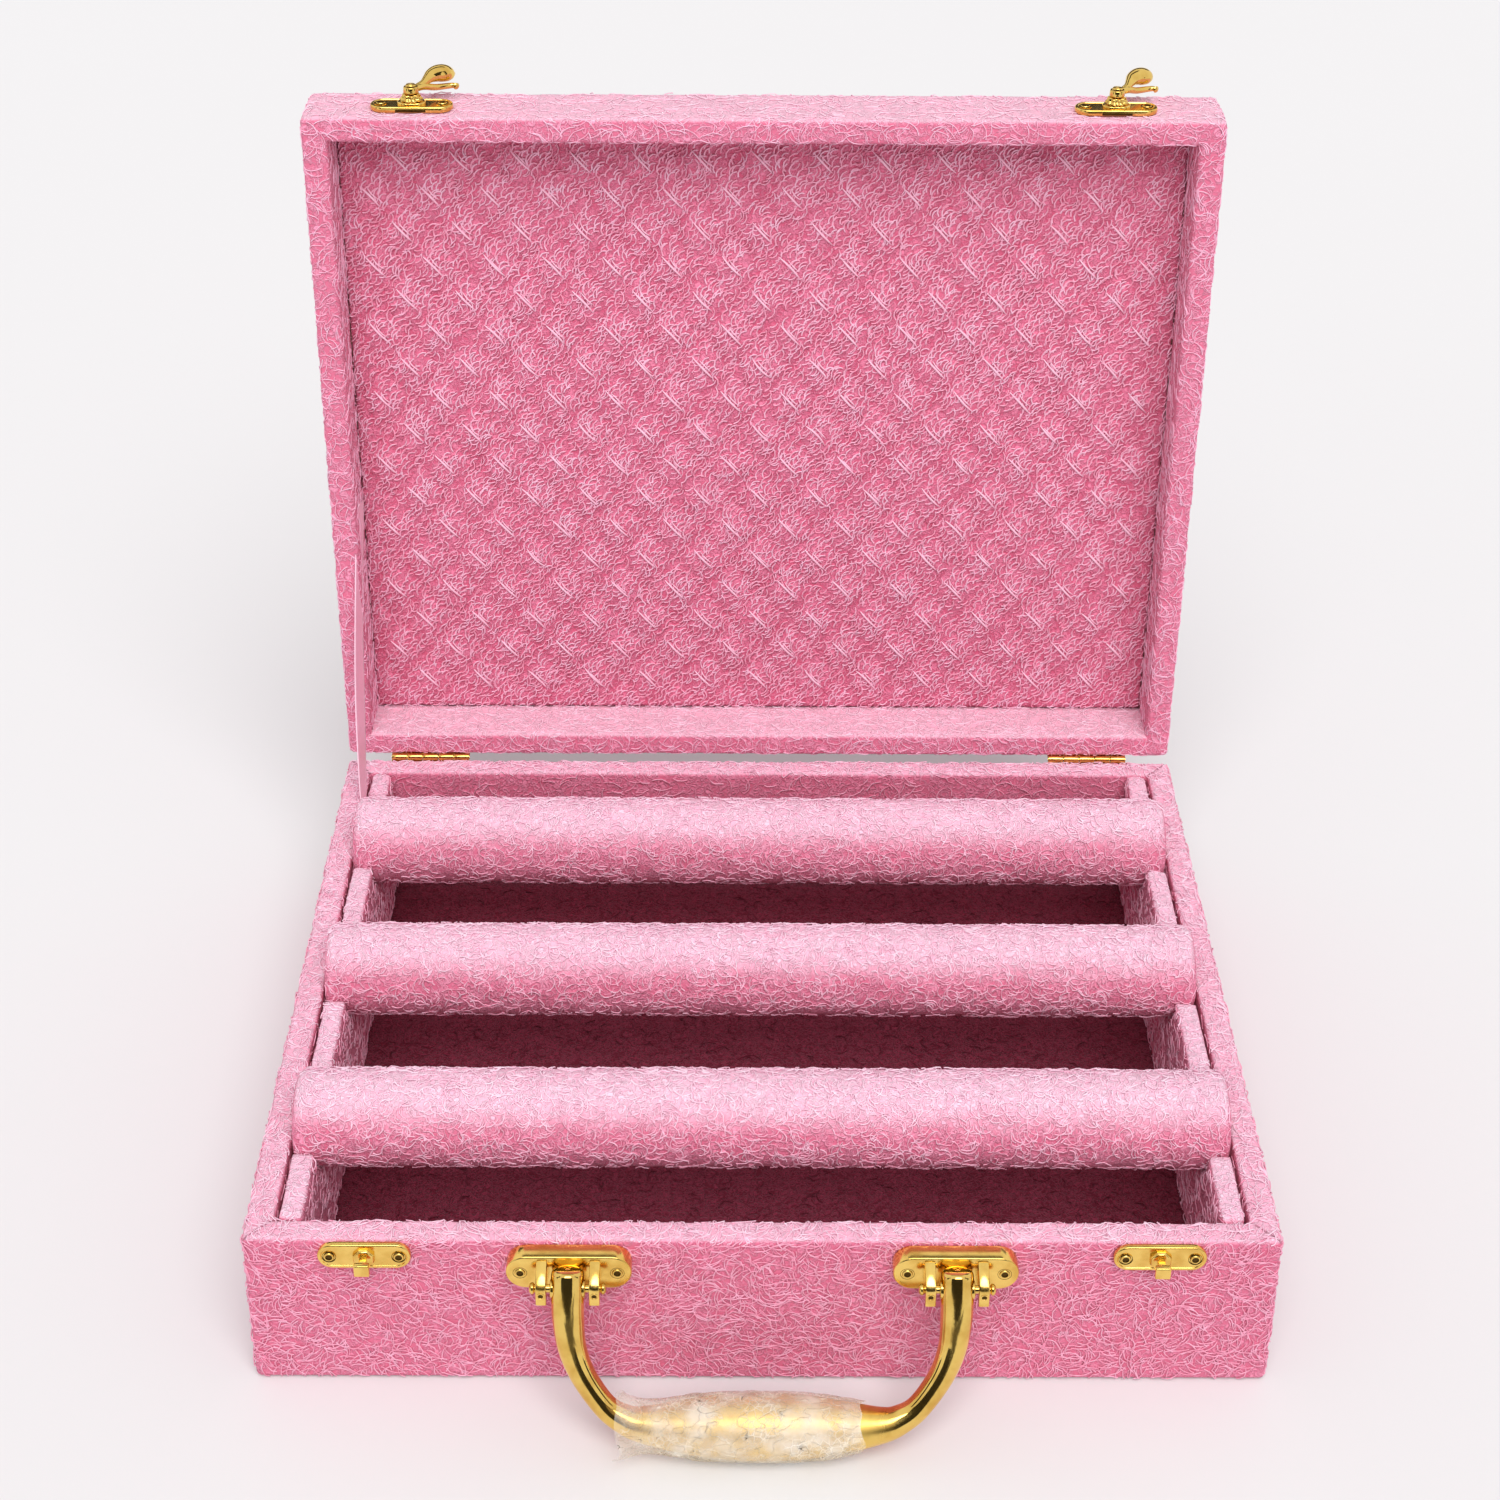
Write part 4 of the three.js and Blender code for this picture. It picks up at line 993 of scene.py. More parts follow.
def soft_block(low, high, edge):
    """A block with softened edges."""
    mesh = bmesh.new()
    low, high = Vector(low) * MM, Vector(high) * MM
    place = Matrix.Translation((high + low) / 2) @ Matrix.Diagonal((*(high - low), 1))
    bmesh.ops.create_cube(mesh, size=1, matrix=place)
    bmesh.ops.bevel(mesh, geom=mesh.edges[:], offset=edge * MM, segments=3, profile=0.5, affect="EDGES")
    return part_of(mesh)


def extruded(outline, start, stop, edge):
    """A plate cut to an outline of (y, z) points, from start to stop along X, with softened edges."""
    mesh = bmesh.new()
    low, high = ([mesh.verts.new(Vector((x, y, z)) * MM) for y, z in outline] for x in (start, stop))
    mesh.faces.new(low[::-1])
    mesh.faces.new(high)
    for i in range(len(outline)):
        j = (i + 1) % len(outline)
        mesh.faces.new((low[i], low[j], high[j], high[i]))
    bmesh.ops.recalc_face_normals(mesh, faces=mesh.faces)
    ends = [e for e in mesh.edges if abs(e.verts[0].co.x - e.verts[1].co.x) < edge * MM / 10]
    bmesh.ops.bevel(mesh, geom=ends, offset=edge * MM, segments=2, profile=0.5, affect="EDGES")
    return part_of(mesh)


def swept(path, radii, sides=20):
    """A tube of changing thickness along a path, with pointed ends."""
    path = [Vector(p) for p in path]
    tangents = [(b - a).normalized() for a, b in zip([path[0]] + path[:-1], path[1:] + [path[-1]])]
    side = tangents[0].orthogonal().normalized()
    turns = [k / sides * TURN for k in range(sides)]
    rings = []
    for place, ahead, radius in zip(path, tangents, radii):
        side = (side - ahead * side.dot(ahead)).normalized()
        up = ahead.cross(side)
        rings.append([place + side * (radius * math.cos(a)) + up * (radius * math.sin(a)) for a in turns])
    points, faces = rings_mesh(rings)
    for start, at, ahead in ((0, 0, -tangents[0]), ((len(rings) - 1) * sides, -1, tangents[-1])):
        tip = len(points)
        points.append(path[at] + ahead * radii[at] * 0.5)
        for k in range(sides):
            here, there = start + k, start + (k + 1) % sides
            faces.append((here, there, tip) if start else (there, here, tip))
    return points, faces


def smooth_path(knots, count):
    """Points at even shares along a smooth curve through knots, each knot a tuple of numbers."""
    knots = [np.array(k, float) for k in knots]
    ends = [2 * knots[0] - knots[1]] + knots + [2 * knots[-1] - knots[-2]]
    found = []
    for i in range(count + 1):
        place = i / count * (len(knots) - 1)
        n = min(int(place), len(knots) - 2)
        t = place - n
        a, b, c, d = ends[n:n + 4]
        bent = (2 * a - 5 * b + 4 * c - d) * t ** 2 + (3 * b - a - 3 * c + d) * t ** 3
        found.append(0.5 * ((2 * b) + (c - a) * t + bent))
    return found


def marked(thing, place, chosen):
    """Gives the painted recess shade to the faces whose middles, in millimetres from the place, are chosen."""
    thing.data.materials.append(recess_shade)
    back = place.inverted()
    for face in thing.data.polygons:
        if chosen(*(back @ face.center / MM)):
            face.material_index = 1
    return thing


def screws(name, place, spacing, top, body, finish):
    """Two screws in countersinks on a plate: a rim, a gap painted dark as shade, the head and its drive painted
    dark as shade.
    """
    head = [
        (1.0, 0.02), (0.94, 0.04), (0.92, -0.25), (0.76, -0.25),
        (0.74, 0.12), (0.66, 0.3), (0.5, 0.32), (0.46, 0.05),
    ]
    tip = -5
    profile = [(0.0001, tip), (0.9, tip + 0.9), (0.9, top - 0.3), (screw_radius, top - 0.3)]
    profile += [(screw_radius * share, top + height) for share, height in head] + [(0.0001, top + 0.02)]
    for number, across in enumerate((-spacing / 2, spacing / 2), 1):
        # the drive and the gap round the head get the dark metal: painted shade
        def dark(x, y, z):
            out = math.hypot(x - across, y) / screw_radius
            return out < 0.49 and z < top + 0.31 or 0.72 < out < 0.98 and z < top + 0.1

        part = moved(turned(profile, 28), Matrix.Translation((across, 0, 0)))
        thing = marked(joined(f"{name}_screw_{number}_head", [part], finish, place), place, dark)
        finished(thing, body, "gilt", f"{name}_screw_{number}")


def keeper(side, name, finish):
    place = front_place(side * latch_x, keeper_z)
    top = plate_top
    octagon = lathed([(axis_end, -0.5), (3.4, -0.5), (3.4, 0.5), (2.95, 1.3), (axis_end, 1.3)], 0.3, 8, top)
    parts = [
        round_end_plate(plate_length, plate_width, top, raised=0.22),
        moved(octagon, Matrix.Rotation(TURN / 16, 4, "Z")),
        soft_block((-1.1, -1.1, top), (1.1, 1.1, top + 5), 0.15),
        soft_block((-2.3, -2.1, top + 4.2), (2.3, 2.1, top + 6.1), 0.45),
    ]
    finished(joined(f"{name}_plate_and_stud", parts, finish, place), "base", "gilt", name)
    screws(name, place, plate_screws, top, "base", finish)


def latch_plate(side, word, finish):
    """Plate on the lid with a dark slot under the bridge in the middle of its lower edge: a dark block there is
    painted shade.
    """
    place = front_place(side * latch_x, latch_z, open_lid=True)
    low = -plate_width / 2
    parts = [
        round_end_plate(plate_length, plate_width, plate_top, raised=0.22),
        round_end_plate(9.4, 6.4, plate_top + 0.8, plate_top - 0.8),
        # dark block under the bridge: painted shade
        soft_block((-5, low - 0.06, 0.6), (5, low + 0.6, 1.5), 0.05),
    ]
    thing = joined(f"latch_plate_{word}_bridged", parts, finish, place, dark_parts=1)
    finished(thing, "lid", "gilt", f"latch_plate_{word}")
    screws(f"latch_plate_{word}", place, plate_screws, plate_top, "lid", finish)


def latch_post(side, word, finish):
    """Turned post with slanting flutes round its foot."""
    foot, shoulder, cap = 3.4, 5.6, 8.2
    points, faces = lathed([
        (axis_end, foot), (3.5, foot), (3.5, foot + 0.5), (2.9, foot + 1.0), (2.8, foot + 1.9), (2.3, shoulder),
        (1.1, shoulder), (1.1, cap), (1.8, cap), (1.5, cap + 0.6), (axis_end, cap + 0.8)], 0.25, 72)
    fluted = []
    for x, y, z in points:
        radius, angle = math.hypot(x, y), math.atan2(y, x)
        share = min(1, max(0, radius - 1.8)) if foot < z < shoulder - 0.1 else 0
        grown = 1 + math.cos(9 * angle + z * 1.2) * 0.34 * share / radius
        fluted.append((x * grown, y * grown, z))
    place = front_place(side * latch_x, latch_z, open_lid=True)
    thing = joined(f"latch_post_{word}_turned", [(fluted, faces)], finish, place)
    finished(thing, "lid", "gilt", f"latch_post_{word}")


def latch_hook(side, word, finish):
    """A hub, a finger that reaches round the stud, and a lobe for the thumb."""
    turn = Matrix.Rotation(latch_rest_angle, 4, "Z")
    place = front_place(side * latch_x, latch_z, open_lid=True) @ turn
    hub = lathed([(1.4, 0), (2.6, 0), (2.4, 2.2), (1.4, 2.2), (1.4, 0)], 0.5, 32, 5.9)
    finger = smooth_path([
        (1.2, 0, 7.0), (4.75, 0.72, 6.9), (9.5, 2.1, 5.35),
        (14.4, 2.45, 4.85), (16.34, 1.78, 4.9), (16.7, 0.36, 4.9),
    ], 26)
    thick = [1.3 - 0.45 * i / 22 for i in range(23)] + [0.8, 0.98, 1.15, 0.95]
    lobe = smooth_path([
        (2.6, 0.6, 7.2, 1.1), (5.2, 1.6, 7.7, 1.2), (7.4, 3.0, 8.3, 1.7),
        (9.4, 4.3, 8.7, 2.35), (11.7, 5.15, 8.8, 2.8), (13.9, 5.4, 8.5, 2.95),
        (15.9, 5.4, 8.0, 2.6), (17.4, 5.3, 7.7, 1.75), (18.2, 5.2, 7.6, 0.7),
    ], 44)
    parts = [hub, swept(finger, thick, 16), swept([p[:3] for p in lobe], [max(p[3], 0.3) for p in lobe], 28)]
    thing = joined(f"latch_hook_{word}_lever", parts, finish, place)
    finished(thing, f"hook_{word}", "gilt", f"latch_hook_{word}")


def mount_ear(start, stop):
    """One upright of a handle mount: slanted from the plate's upper edge out to the pin, rounded below it."""
    return extruded([
        (4.9, 4), (4.9, 6.4), (pin_drop + 2.6, ear_front - 0.9), (pin_drop + 1.2, ear_front),
        (pin_drop - 4.4, ear_front), (pin_drop - 4.8, ear_front - 0.5), (pin_drop - 4.4, pin_stand_off - 1.6),
        (pin_drop - 3.4, pin_stand_off - 3.4), (pin_drop - 3.4, 4),
    ], start, stop, 0.35)


def handle_mount(side, word, finish, bright):
    """A cast plate with two ears, each with a dimple in its front, and the pin between them."""
    place = front_place(side * mount_x, mount_z)
    parts = [round_end_plate(mount_length, mount_width, mount_top, sides=20)]
    dimple_y = pin_drop - 0.8
    for start, stop in ears:
        parts.append(mount_ear(start, stop))
        dimple = lathed([
            (axis_end, -0.4), (1.15, -0.4), (1.15, 0.15), (0.8, 0.25), (0.7, 0.03), (axis_end, 0.02),
        ], 0.06, 20)
        parts.append(moved(dimple, Matrix.Translation(((start + stop) / 2, dimple_y, ear_front))))

    # the middle of each dimple gets the dark metal: painted shade in the recess
    def dark(x, y, z):
        inside = math.hypot(abs(x) - sum(ears[1]) / 2, y - dimple_y) < 0.72
        return inside and ear_front - 0.1 < z < ear_front + 0.16

    thing = marked(joined(f"handle_mount_{word}_cast", parts, finish, place), place, dark)
    finished(thing, "base", "gilt", f"handle_mount_{word}")
    end = [(axis_end, 11.2), (1.1, 11.2), (1.7, 10.6), (1.7, 9.9), (1.2, 9.7)]
    pin = lathed([(radius, -height) for radius, height in end] + end[::-1], 0.25, 28)
    across = Matrix.Translation((0, pin_drop, pin_stand_off)) @ Matrix.Rotation(TURN / 4, 4, "Y")
    thing = joined(f"handle_pin_{word}_turned", [moved(pin, across)], bright, place)
    finished(thing, "base", "gilt", f"handle_pin_{word}")
    screws(f"handle_mount_{word}", place, mount_screws, mount_top, "base", bright)


def handle_bow(finish):
    """The carrying handle: a swept bow that swells into a spindle grip, with an eye at each end."""
    half = [
        (56.5, -5.95, 1.0), (56.5, -5.9, 2.6), (56.5, -5.7, 3.8),
        (56.5, -5.1, 4.5), (56.5, -3.9, 4.8), (56.5, 0.5, 4.9),
        (56.4, 8.3, 4.75), (55.3, 17.4, 4.25), (52.0, 26.1, 3.8), (46.0, 34.9, 3.65),
        (40.7, 38.9, 4.2), (35.0, 40.8, 5.2), (23.7, 41.4, 7.38), (11.3, 41.4, 9.12)]
    knots = [(-x, -s, r) for x, s, r in half] + [(0, -41.4, 9.6)] + [(x, -s, r) for x, s, r in reversed(half)]
    line = smooth_path(knots, 190)
    parts = [swept([(x, 0, z) for x, z, _ in line], [r for *_, r in line], 36)]
    for side in (-1, 1):
        at = Matrix.Translation((side * mount_x / MM, 0, 0)) @ Matrix.Rotation(TURN / 4, 4, "Y")
        parts.append(moved(lathed(tube(1.3, 2.7, -5.1, 5.1), 0.4, 40), at))
    finished(joined("handle_bow_gilt", parts, finish, handle_place), "handle", "gilt", "handle_bow")


def grip_film(finish):
    """Protective film wound round the grip: creased, loose at the left end and torn unevenly at the right."""
    count, sides = 60, 72
    thickness = 0.16
    line = smooth_path([(-42, 9.3), (-33, 7.5), (-17.5, 9.63), (0, 10.2), (14.7, 9.74), (29, 7.6)], count)
    outer, inner = [], []
    for i, (x, radius) in enumerate(line):
        outer.append([])
        inner.append([])
        end = max(0, abs(i / count - 0.5) - 0.44) / 0.06
        for k in range(sides):
            angle = k / sides * TURN
            turn = Vector((x / 9, 2 * math.cos(angle), 2 * math.sin(angle)))
            finer = turn * 3.7 + Vector((9, 0, 0))
            crease = abs(noise.noise(turn * 1.6)) * 0.5 - abs(noise.noise(finer)) * 0.35
            torn = noise.noise(Vector((angle * 1.3, 0, 4))) * 2.2 * end
            grown = min(radius + crease - 0.2, 10.2)
            if x < -24:
                hang = max(0, math.cos(angle - 2.6)) ** 2
                grown += (-24 - x) / 18 * (0.6 + 3.0 * hang)
            for ring, size in ((outer[-1], grown), (inner[-1], grown - thickness)):
                ring.append((x + torn, size * math.cos(angle), size * math.sin(angle) - handle_reach))
    part = rings_mesh(outer + inner[::-1], close_round=True)
    thing = joined("grip_film_wound", [part], finish, handle_place)
    finished(thing, "handle", "film", "grip_film")


def hinge(side, word, finish):
    """Hinge leaf on the base, leaf on the lid, their knuckles and small screws."""
    half, knuckle = 14.5, 29 / 5
    place = Matrix.Translation((side * hinge_x, hinge_line.y, hinge_line.z))
    for up, body, at in ((-1, "base", place), (1, "lid", swing_open @ place)):
        low, high = sorted((1.15 * up, 13 * up))
        parts = [soft_block((-half, -0.8, low), (half, 0, high), 0.15)]
        for i in range(0 if body == "base" else 1, 5, 2):
            start = -half + i * knuckle
            barrel = turned(rounded(tube(0.9, 1.4, start + 0.15, start + knuckle - 0.15), 0.12, 2), 24)
            parts.append(moved(barrel, Matrix.Rotation(TURN / 4, 4, "Y")))
        for x in (-10, 0, 10):
            head = lathed([(axis_end, -0.1), (1.3, -0.1), (1.3, 0.2), (0.8, 0.55), (axis_end, 0.6)], 0.15, 20)
            spot = Matrix.Translation((x, 0, up * (7.5 if x else 9.5))) @ Matrix.Rotation(-TURN / 4, 4, "X")
            parts.append(moved(head, spot))
        node = f"hinge_{body}_leaf_{word}"
        finished(joined(f"{node}_plate", parts, finish, at), body, "gilt", node)


def ribbon_stay(finish):
    """Satin strap, taut between the groove beside the left rest and the lid's side, with a slight curl."""
    low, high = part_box("stay_ribbon")
    foot = Vector((0, 97, 56)) * MM
    head = Vector((0, hinge_line.y / MM + 13, hinge_line.z / MM + 101)) * MM
    along = (head - foot).normalized()
    across = Vector((0, -along.z, along.y))
    start = foot - along * (10 * MM / along.z)
    width = 12 * MM
    length = (head - start).length
    half_thickness = 0.16 * MM
    middle = (low.x + high.x) / 2
    rows, columns = 90, 10
    points, cloth = [], []
    for layer in (-1, 1):
        for i in range(rows + 1):
            share = i / rows
            taper = 1 - 0.12 * math.sin(math.pi * share)
            swell = math.sin(math.pi * max(0, (share - 0.07) / 0.93)) ** 0.5
            for k in range(columns + 1):
                side = k / columns - 0.5
                bend = -side * 1.6 * MM - 1.4 * MM + 0.15 * MM * math.sin(share * 9 + side * 2)
                place = start + along * (length * share) + across * (side * width * taper)
                points.append((middle + bend * swell + layer * half_thickness, place.y, place.z))
                cloth.append((side + 0.5, share))
    count = len(points) // 2
    faces = []
    for face in grid_faces(columns, rows):
        a, b, c, d = face
        faces += [face, (count + d, count + c, count + b, count + a)]
    rim = grid_rim(columns, rows)
    faces += [(b, a, count + a, count + b) for a, b in zip(rim, rim[1:] + rim[:1])]
    thing = mesh_object("ribbon_stay_satin", points, faces, finish)
    layer = thing.data.uv_layers.new(name="cloth")
    for loop in thing.data.loops:
        layer.data[loop.index].uv = cloth[loop.vertex_index]
    outwards(thing)
    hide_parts("stay_ribbon")
    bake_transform(thing)


def tuft_places():
    """Middles of the raised diamonds of the lid's lining, as (x, z)."""
    places = []
    for row in range(2 * diamonds_down + 1):
        for column in range(diamonds_across + 1):
            u = column + (0.5 if row % 2 == 0 else 0)
            if u <= diamonds_across:
                x = lining_low.x + u / diamonds_across * lining_width
                places.append((x, lining_low.z + row / 2 / diamonds_down * lining_length))
    return np.array(places)


def tuft_offset(place):
    """From the nearest tuft to a place, as (x, z)."""
    away = np.array((place.x, place.z)) - tufts
    return away[np.argmin((away ** 2).sum(1))]


def fan_way(place):
    """Strands of the lining stand off each stroke to both sides, like the barbs of a feather."""
    x, z = tuft_offset(place)
    side = -1 if x * stroke_way.z - z * stroke_way.x > 0 else 1
    drift = noise.noise(Vector((x, 0, z)) / (3 * MM) + place / (9 * MM))
    return side * (0.62 + 0.5 * drift), 0, side * (0.78 - 0.5 * drift)


def swirl_way(place):
    """Strands of the wrap lie in loose swirls a few millimetres across."""
    return tuple(noise.noise_vector(place / (6.5 * MM)))


def tuft_strokes(finish):
    """Two bright strands lying along the middle of each raised diamond."""
    parts = []
    aside = Vector((-stroke_way.z, 0, stroke_way.x))
    for number, (x, z) in enumerate(tufts):
        if min(x - lining_low.x, lining_high.x - x, z - lining_low.z, lining_high.z - z) < 5 * MM:
            continue
        for strand, (start, thick) in enumerate(((-0.35, 1.0), (0.7, 0.6))):
            vary = noise.noise_vector(Vector((number * 1.37, strand * 2.1, 0.5)))
            path = []
            for k in range(6):
                off_middle = (k / 2.5 - 1) ** 2
                along = (k / 5 - 0.5) * (10.5 + 1.6 * vary.x) * thick * MM
                curve = (start + 0.6 * vary.y + (0.9 * vary.z + 0.5 * start) * off_middle) * MM
                place = Vector((x, 0, z)) + stroke_way * along + aside * curve
                ridge = lining_flat + lining_relief * quilt_crown(place.x, place.z)
                place.y = lining_high.y - ridge - (0.55 - 0.3 * off_middle) * MM
                path.append(place)
            parts.append(swept(path, [r * thick * MM for r in (0.18, 0.36, 0.46, 0.46, 0.36, 0.17)], 4))
    finished(joined("lid_lining_tufts", parts, finish), "lid", "plush")


def buried(across, outward, half):
    """Whether a spot on a wall's skin, across from the middle, is on the side that lies on the boards."""
    near = abs(across) > half - wall / 2
    return abs(outward) > 0.5 and (across * outward > 0) != near


def within(across, along, half_across, half_along, margin):
    """Whether a spot lies inside the walls, by the margin."""
    return abs(across) < half_across - wall - margin and abs(along) < half_along - wall - margin


def on_base(place, normal):
    if place.z < 2.4 * MM or within(place.x, place.y, half_width, half_depth, 0.1 * MM):
        return 0
    if buried(place.x, normal.x, half_width) or buried(place.y, normal.y, half_depth):
        return 0
    if within(place.x, place.y, half_width, half_depth, -1 * MM):
        return 0.2
    return 1 if normal.z > 0.5 or normal.y < -0.5 else 0.5


def on_front(place, normal):
    return on_base(place, normal) if normal.z > 0.5 or place.y < -half_depth + 2 * MM else 0


def on_sides(place, normal):
    return on_base(place, normal) - on_front(place, normal)


def on_lid(place, normal):
    up = place.z - (lid_low.z + lid_high.z) / 2
    half_height = (lid_high.z - lid_low.z) / 2
    if within(place.x, up, half_width, half_height, 0.1 * MM) and abs(normal.y) > 0.9:
        return 0
    if buried(place.x, normal.x, half_width) or buried(up, normal.z, half_height):
        return 0
    if place.y < lid_low.y + rim_radius:
        return 1
    return 0 if place.y > lid_high.y - 1 * MM else 0.7


def on_back(place, normal):
    return 1 if place.y > lid_high.y - 1 * MM and normal.y > 0 else 0


def on_lining(left):
    """Thick everywhere on one half of the lining, and thickest at each tuft."""
    def share(place, normal):
        if (place.x < 0) != left or normal.y >= -0.4:
            return 0
        x, z = tuft_offset(place)
        near = math.hypot(x / diamond_width, z / diamond_length) * 2
        return max(0.75, 1 - near * near)
    return share


def on_roll(name):
    low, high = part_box(f"{name}_cover")
    centre = (low + high) / 2

    def share(place, normal):
        away = place - centre
        outer = math.hypot(away.y, away.z) > roll_radius - 0.9 * MM
        end = abs(away.x) > (high.x - low.x) / 2 - 1.5 * MM
        return (1 if normal.z > -0.3 else 0.5) if outer and not end else 0
    return share


def on_rest(place, normal):
    hidden = place.x * normal.x > 0 and abs(normal.x) > 0.5 or normal.z < -0.5
    return 0 if hidden else 1


def facing_up(place, normal):
    return 1 if normal.z > 0.5 else 0


def strand_sizes(length, bend, thickness, spread, fluff, wave, steps, apart=0.0):
    """Inputs of the strand tree, from lengths in millimetres and angles in radians."""
    return {
        "Length": length * MM, "Bend": bend, "Thickness": thickness * MM, "Spread": spread,
        "Fluff": fluff * MM, "Wave": wave * MM, "Steps": steps, "Apart": apart * MM,
    }


long_strands = strand_sizes(6.4, 1.2, 0.215, 1.4, 0.5, 0.8, 5)
flat_strands = strand_sizes(6.4, 1.2, 0.215, 1.4, 0.2, 0.8, 5)
fine_strands = strand_sizes(4.6, 1.7, 0.32, 0.9, 0.4, 0.15, 4, apart=1.4)
curly_strands = strand_sizes(5.4, 1.9, 0.225, 2.4, 0.5, 1.0, 5)


def dress_frame(gilt):
    """A finish for each of the frame's own solids."""
    board, foam, cloth = board_finish(), foam_finish(), cloth_finish()
    for name, thing in frame["nodes"].items():
        finish = gilt
        if "board" in name:
            finish = board
        elif name.endswith("_core"):
            finish = foam
        elif name == "base_underside_cover":
            finish = cloth
        for slot in thing.material_slots:
            slot.material = finish


def dress():
    pale = plush_finish("pale_plush", roll_tones, 4.2 * MM, 1.2)
    bright_gilt = gilt_finish("bright_gilt", gold, 0.06, 0.04)
    plate_gilt = gilt_finish("plate_gilt", plate_gold, 0.14, 0.06)
    dress_frame(bright_gilt)
    base = base_skin(plush_finish("deep_plush", wrap_tones, 5.0 * MM, 0.0, seams=True))
    # the lid takes less of the painted light from above
    lid = lid_skin(plush_finish("lid_plush", lid_tones, 5.0 * MM, 0.4, painted_top_light=0.68))
    lining = lid_lining(plush_finish("quilted_plush", lining_tones, 3.2 * MM, 0.8, raised=True))
    # the floor lining is painted dark: painted shade of the cavity
    floor = floor_lining(plush_finish("floor_plush", floor_shade_tones, 3.6 * MM, 1.6))
    rests = {side: roll_rest(side, pale) for side in ("left", "right")}
    names = ("roll_back", "roll_middle", "roll_front")
    rolls = {name: roll_cover(name, pale, 3.3 * i) for i, name in enumerate(names)}
    for side, word in ((-1, "left"), (1, "right")):
        keeper(side, f"keeper_{word}", plate_gilt)
        latch_plate(side, word, plate_gilt)
        latch_post(side, word, bright_gilt)
        latch_hook(side, word, bright_gilt)
        handle_mount(side, word, plate_gilt, bright_gilt)
        hinge(side, word, bright_gilt)
    handle_bow(gilt_finish("bow_gilt", gold, 0.06, 0.04, dulled=0.3))
    grip_film(film_finish())
    ribbon_stay(satin_finish())

    deep_strand = strand_finish("deep_strands", wrap_strand_tones, 0.2)
    lid_strand = strand_finish("lid_strands", lid_strand_tones, 0.3, painted_top_light=0.65)
    lining_strand = strand_finish("lining_strands", lining_strand_tones, 0.7, quilted=True)
    pale_strand = strand_finish("pale_strands", roll_strand_tones, 0.6)
    # the floor strands are painted dark too: painted shade of the cavity
    floor_strand = strand_finish("floor_strands", floor_shade_tones, 0.9)
    def pile(name, surface, body, finish, share, density, seed, sizes, slot="plush", way=swirl_way):
        strands(name, surface, body, slot, finish, share, density, seed, way, sizes)

    pile("base_front_strands", base, "base", deep_strand, on_front, 0.21e6, 11, long_strands)
    pile("base_side_strands", base, "base", deep_strand, on_sides, 0.17e6, 10, long_strands)
    pile("lid_frame_strands", lid, "lid", lid_strand, on_lid, 0.12e6, 12, flat_strands)
    pile("lid_back_strands", lid, "lid", lid_strand, on_back, 0.05e6, 22, long_strands)
    for seed, word in ((24, "left"), (25, "right")):
        share = on_lining(word == "left")
        name = f"lid_lining_strands_{word}"
        pile(name, lining, "lid", lining_strand, share, 0.7e6, seed, fine_strands, way=fan_way)
    tuft_strokes(strand_finish("tuft_strands", stroke_tones, 0.5))
    for seed, (name, roll) in enumerate(rolls.items(), 14):
        share = on_roll(name)
        pile(f"{name}_strands", roll, name, pale_strand, share, 0.19e6, seed, curly_strands, "pale_plush")
    for seed, (side, rest) in enumerate(rests.items(), 18):
        name = f"roll_rest_{side}_strands"
        pile(name, rest, "base", pale_strand, on_rest, 0.1e6, seed, curly_strands, "pale_plush")
    pile("floor_strands", floor, "base", floor_strand, facing_up, 0.02e6, 21, curly_strands, "pale_plush", None)


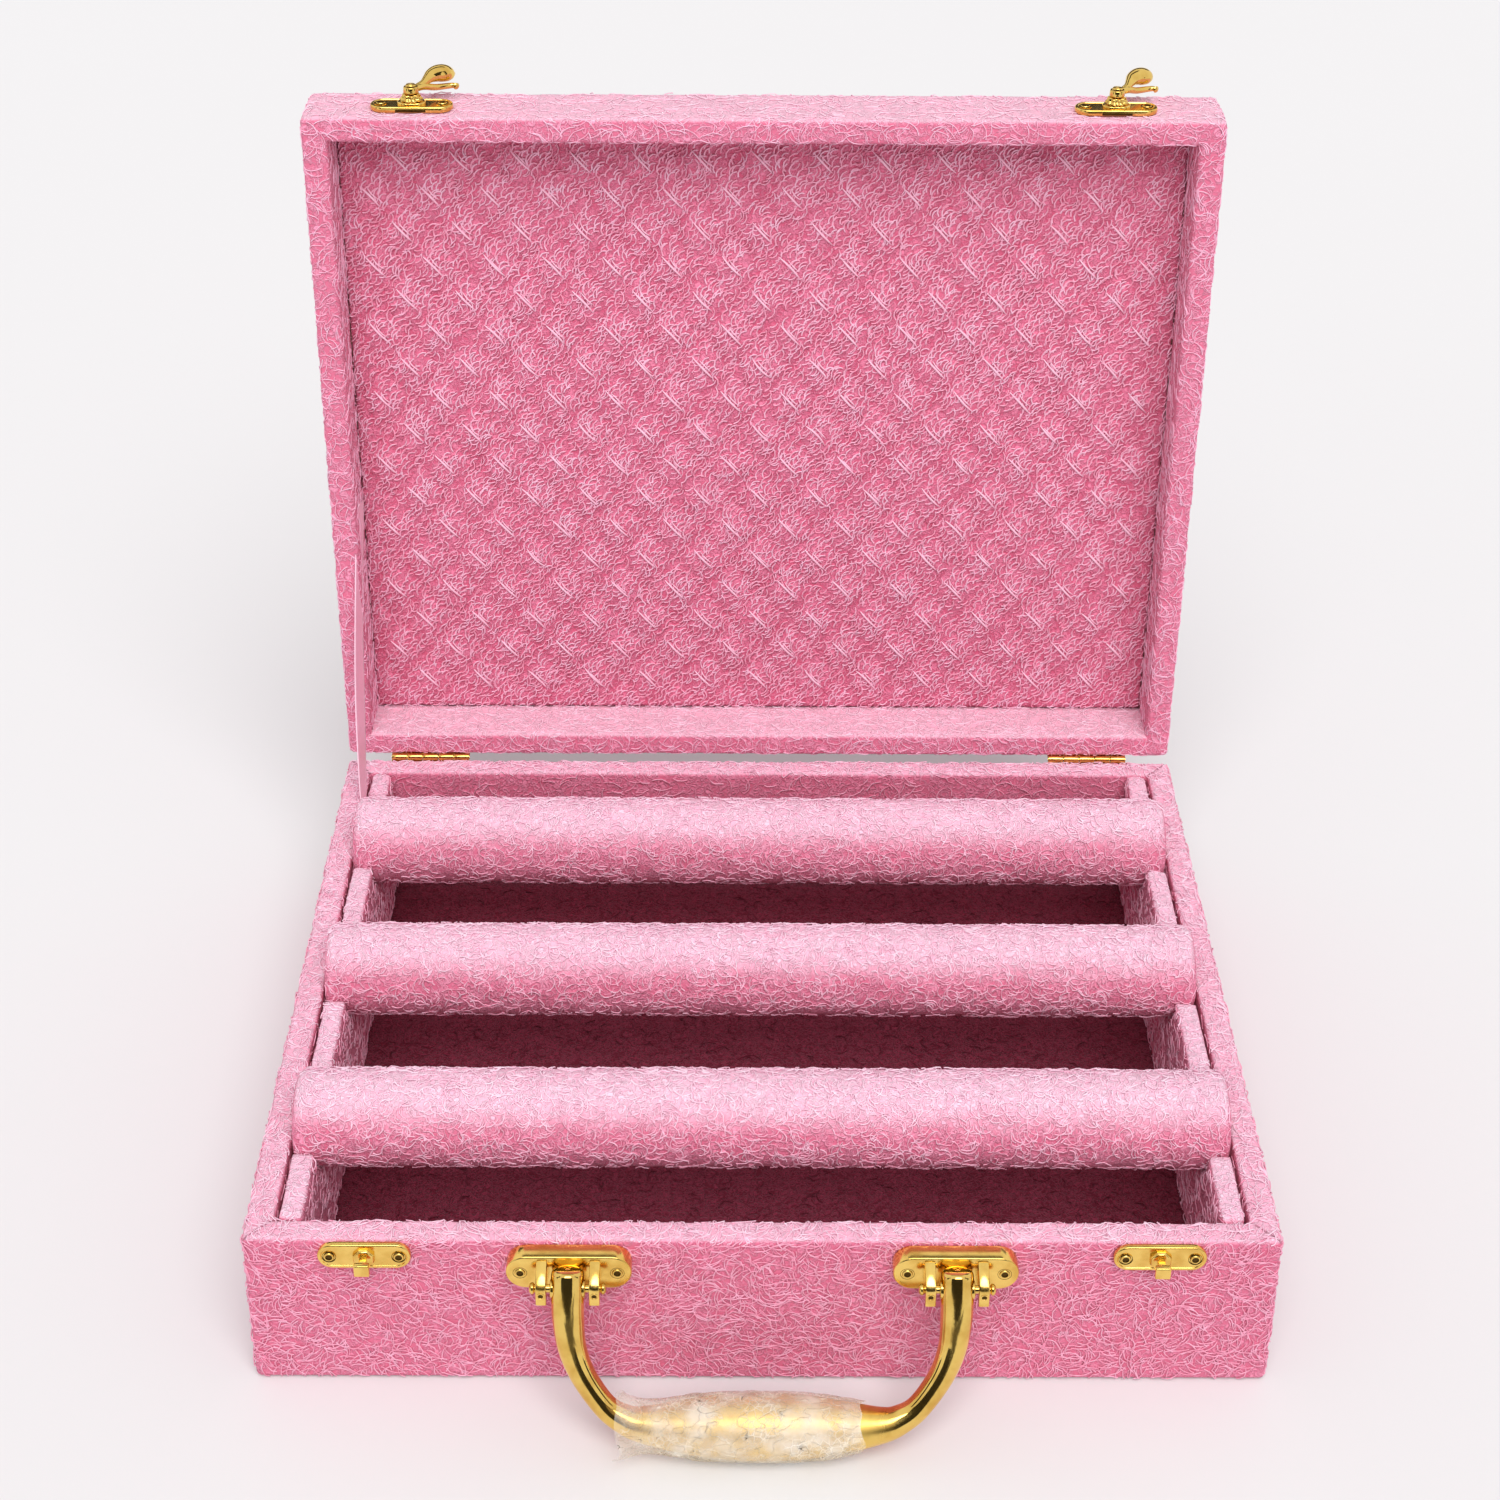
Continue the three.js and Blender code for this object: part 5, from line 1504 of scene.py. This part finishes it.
def stage():
    """Pale paper floor, even light from all round, one soft light high in front, and dark cards."""
    reach = 14.0
    square = [(-1, -1), (1, -1), (1, 1), (-1, 1)]
    finish = Finish("studio_paper", roughness=0.9, specular=0.1)
    grain = finish.noise(finish.coordinates(), 0.3)
    connect(finish.tree, finish.mixed(grain, (0.776, 0.774, 0.778), (0.784, 0.782, 0.786)), finish.base)
    corners = [(a * reach, b * reach, 0) for a, b in square]
    floor = mesh_object("studio_floor", corners, [(0, 1, 2, 3)], finish.material)
    floor.location.z = -0.2 * MM

    dark = Finish("dark_card", roughness=0.9)
    shade = dark.noise(dark.coordinates(), 0.2)
    connect(dark.tree, dark.mixed(shade, (0.02, 0.018, 0.015), (0.05, 0.045, 0.04)), dark.base)
    up_way = Vector((0, 0, 1))
    for name, place, wide, high, flat in (
        ("card_behind_camera", (-0.1, -1.35, 0.6), 2.1, 1.5, False),
        ("card_front_left", (-1.3, -0.5, 0.5), 0.3, 1.3, False),
        ("card_front_right", (1.3, -0.5, 0.5), 0.3, 1.3, False),
        ("card_behind_case", (0.0, 1.3, 0.82), 2.2, 0.5, False),
        ("card_overhead", (0.0, 0.9, 1.75), 1.6, 0.35, False),
        ("card_before_table", (0.08, -0.95, 0.001), 0.6, 0.9, True),
    ):
        place = Vector(place)
        facing = up_way if flat else (Vector((0, 0, 0.1)) - place).normalized()
        side = Vector((1, 0, 0)) if flat else facing.cross(up_way).normalized()
        up = side.cross(facing)
        ring = [place + side * (a * wide / 2) + up * (b * high / 2) for a, b in square]
        card = mesh_object(name, ring, [(0, 1, 2, 3)], dark.material)
        card.visible_camera = False
        card.visible_diffuse = False
        card.visible_shadow = False
        card.visible_transmission = False

    lighting, shown = 0.58, 0.9
    world = bpy.data.worlds.new("studio")
    bpy.context.scene.world = world
    world.use_nodes = True
    tree = world.node_tree
    path = tree.nodes.new("ShaderNodeLightPath").outputs
    seen = Value(tree, path["Is Camera Ray"]).most(Value(tree, path["Is Glossy Ray"]))
    seen = seen.most(Value(tree, path["Is Transmission Ray"]))
    back = tree.nodes["Background"]
    back.inputs["Color"].default_value = (1.0, 0.985, 0.995, 1)
    connect(tree, seen * (shown - lighting) + lighting, back.inputs["Strength"])

    data = bpy.data.lights.new("soft_light_high", "SUN")
    data.angle = math.radians(46)
    data.energy = 2.35
    data.color = (1.0, 0.985, 0.985)
    light = bpy.data.objects.new("soft_light_high", data)
    rise = math.radians(53)
    toward = Vector((0.07, -math.cos(rise), math.sin(rise)))
    light.rotation_euler = toward.to_track_quat("Z", "Y").to_euler()
    bpy.context.scene.collection.objects.link(light)


handle_place = Matrix.Translation(handle_line) @ Matrix.Rotation(-handle_hang, 4, "X")
strands_tree = strand_tree()
# dark metal for recesses: painted shade
recess_shade = recess_shade_finish()
tufts = tuft_places()
stroke_way = Vector((0.66, 0, -0.75)).normalized()

place_camera()
stage()
dress()
bpy.context.scene.view_settings.view_transform = "Standard"
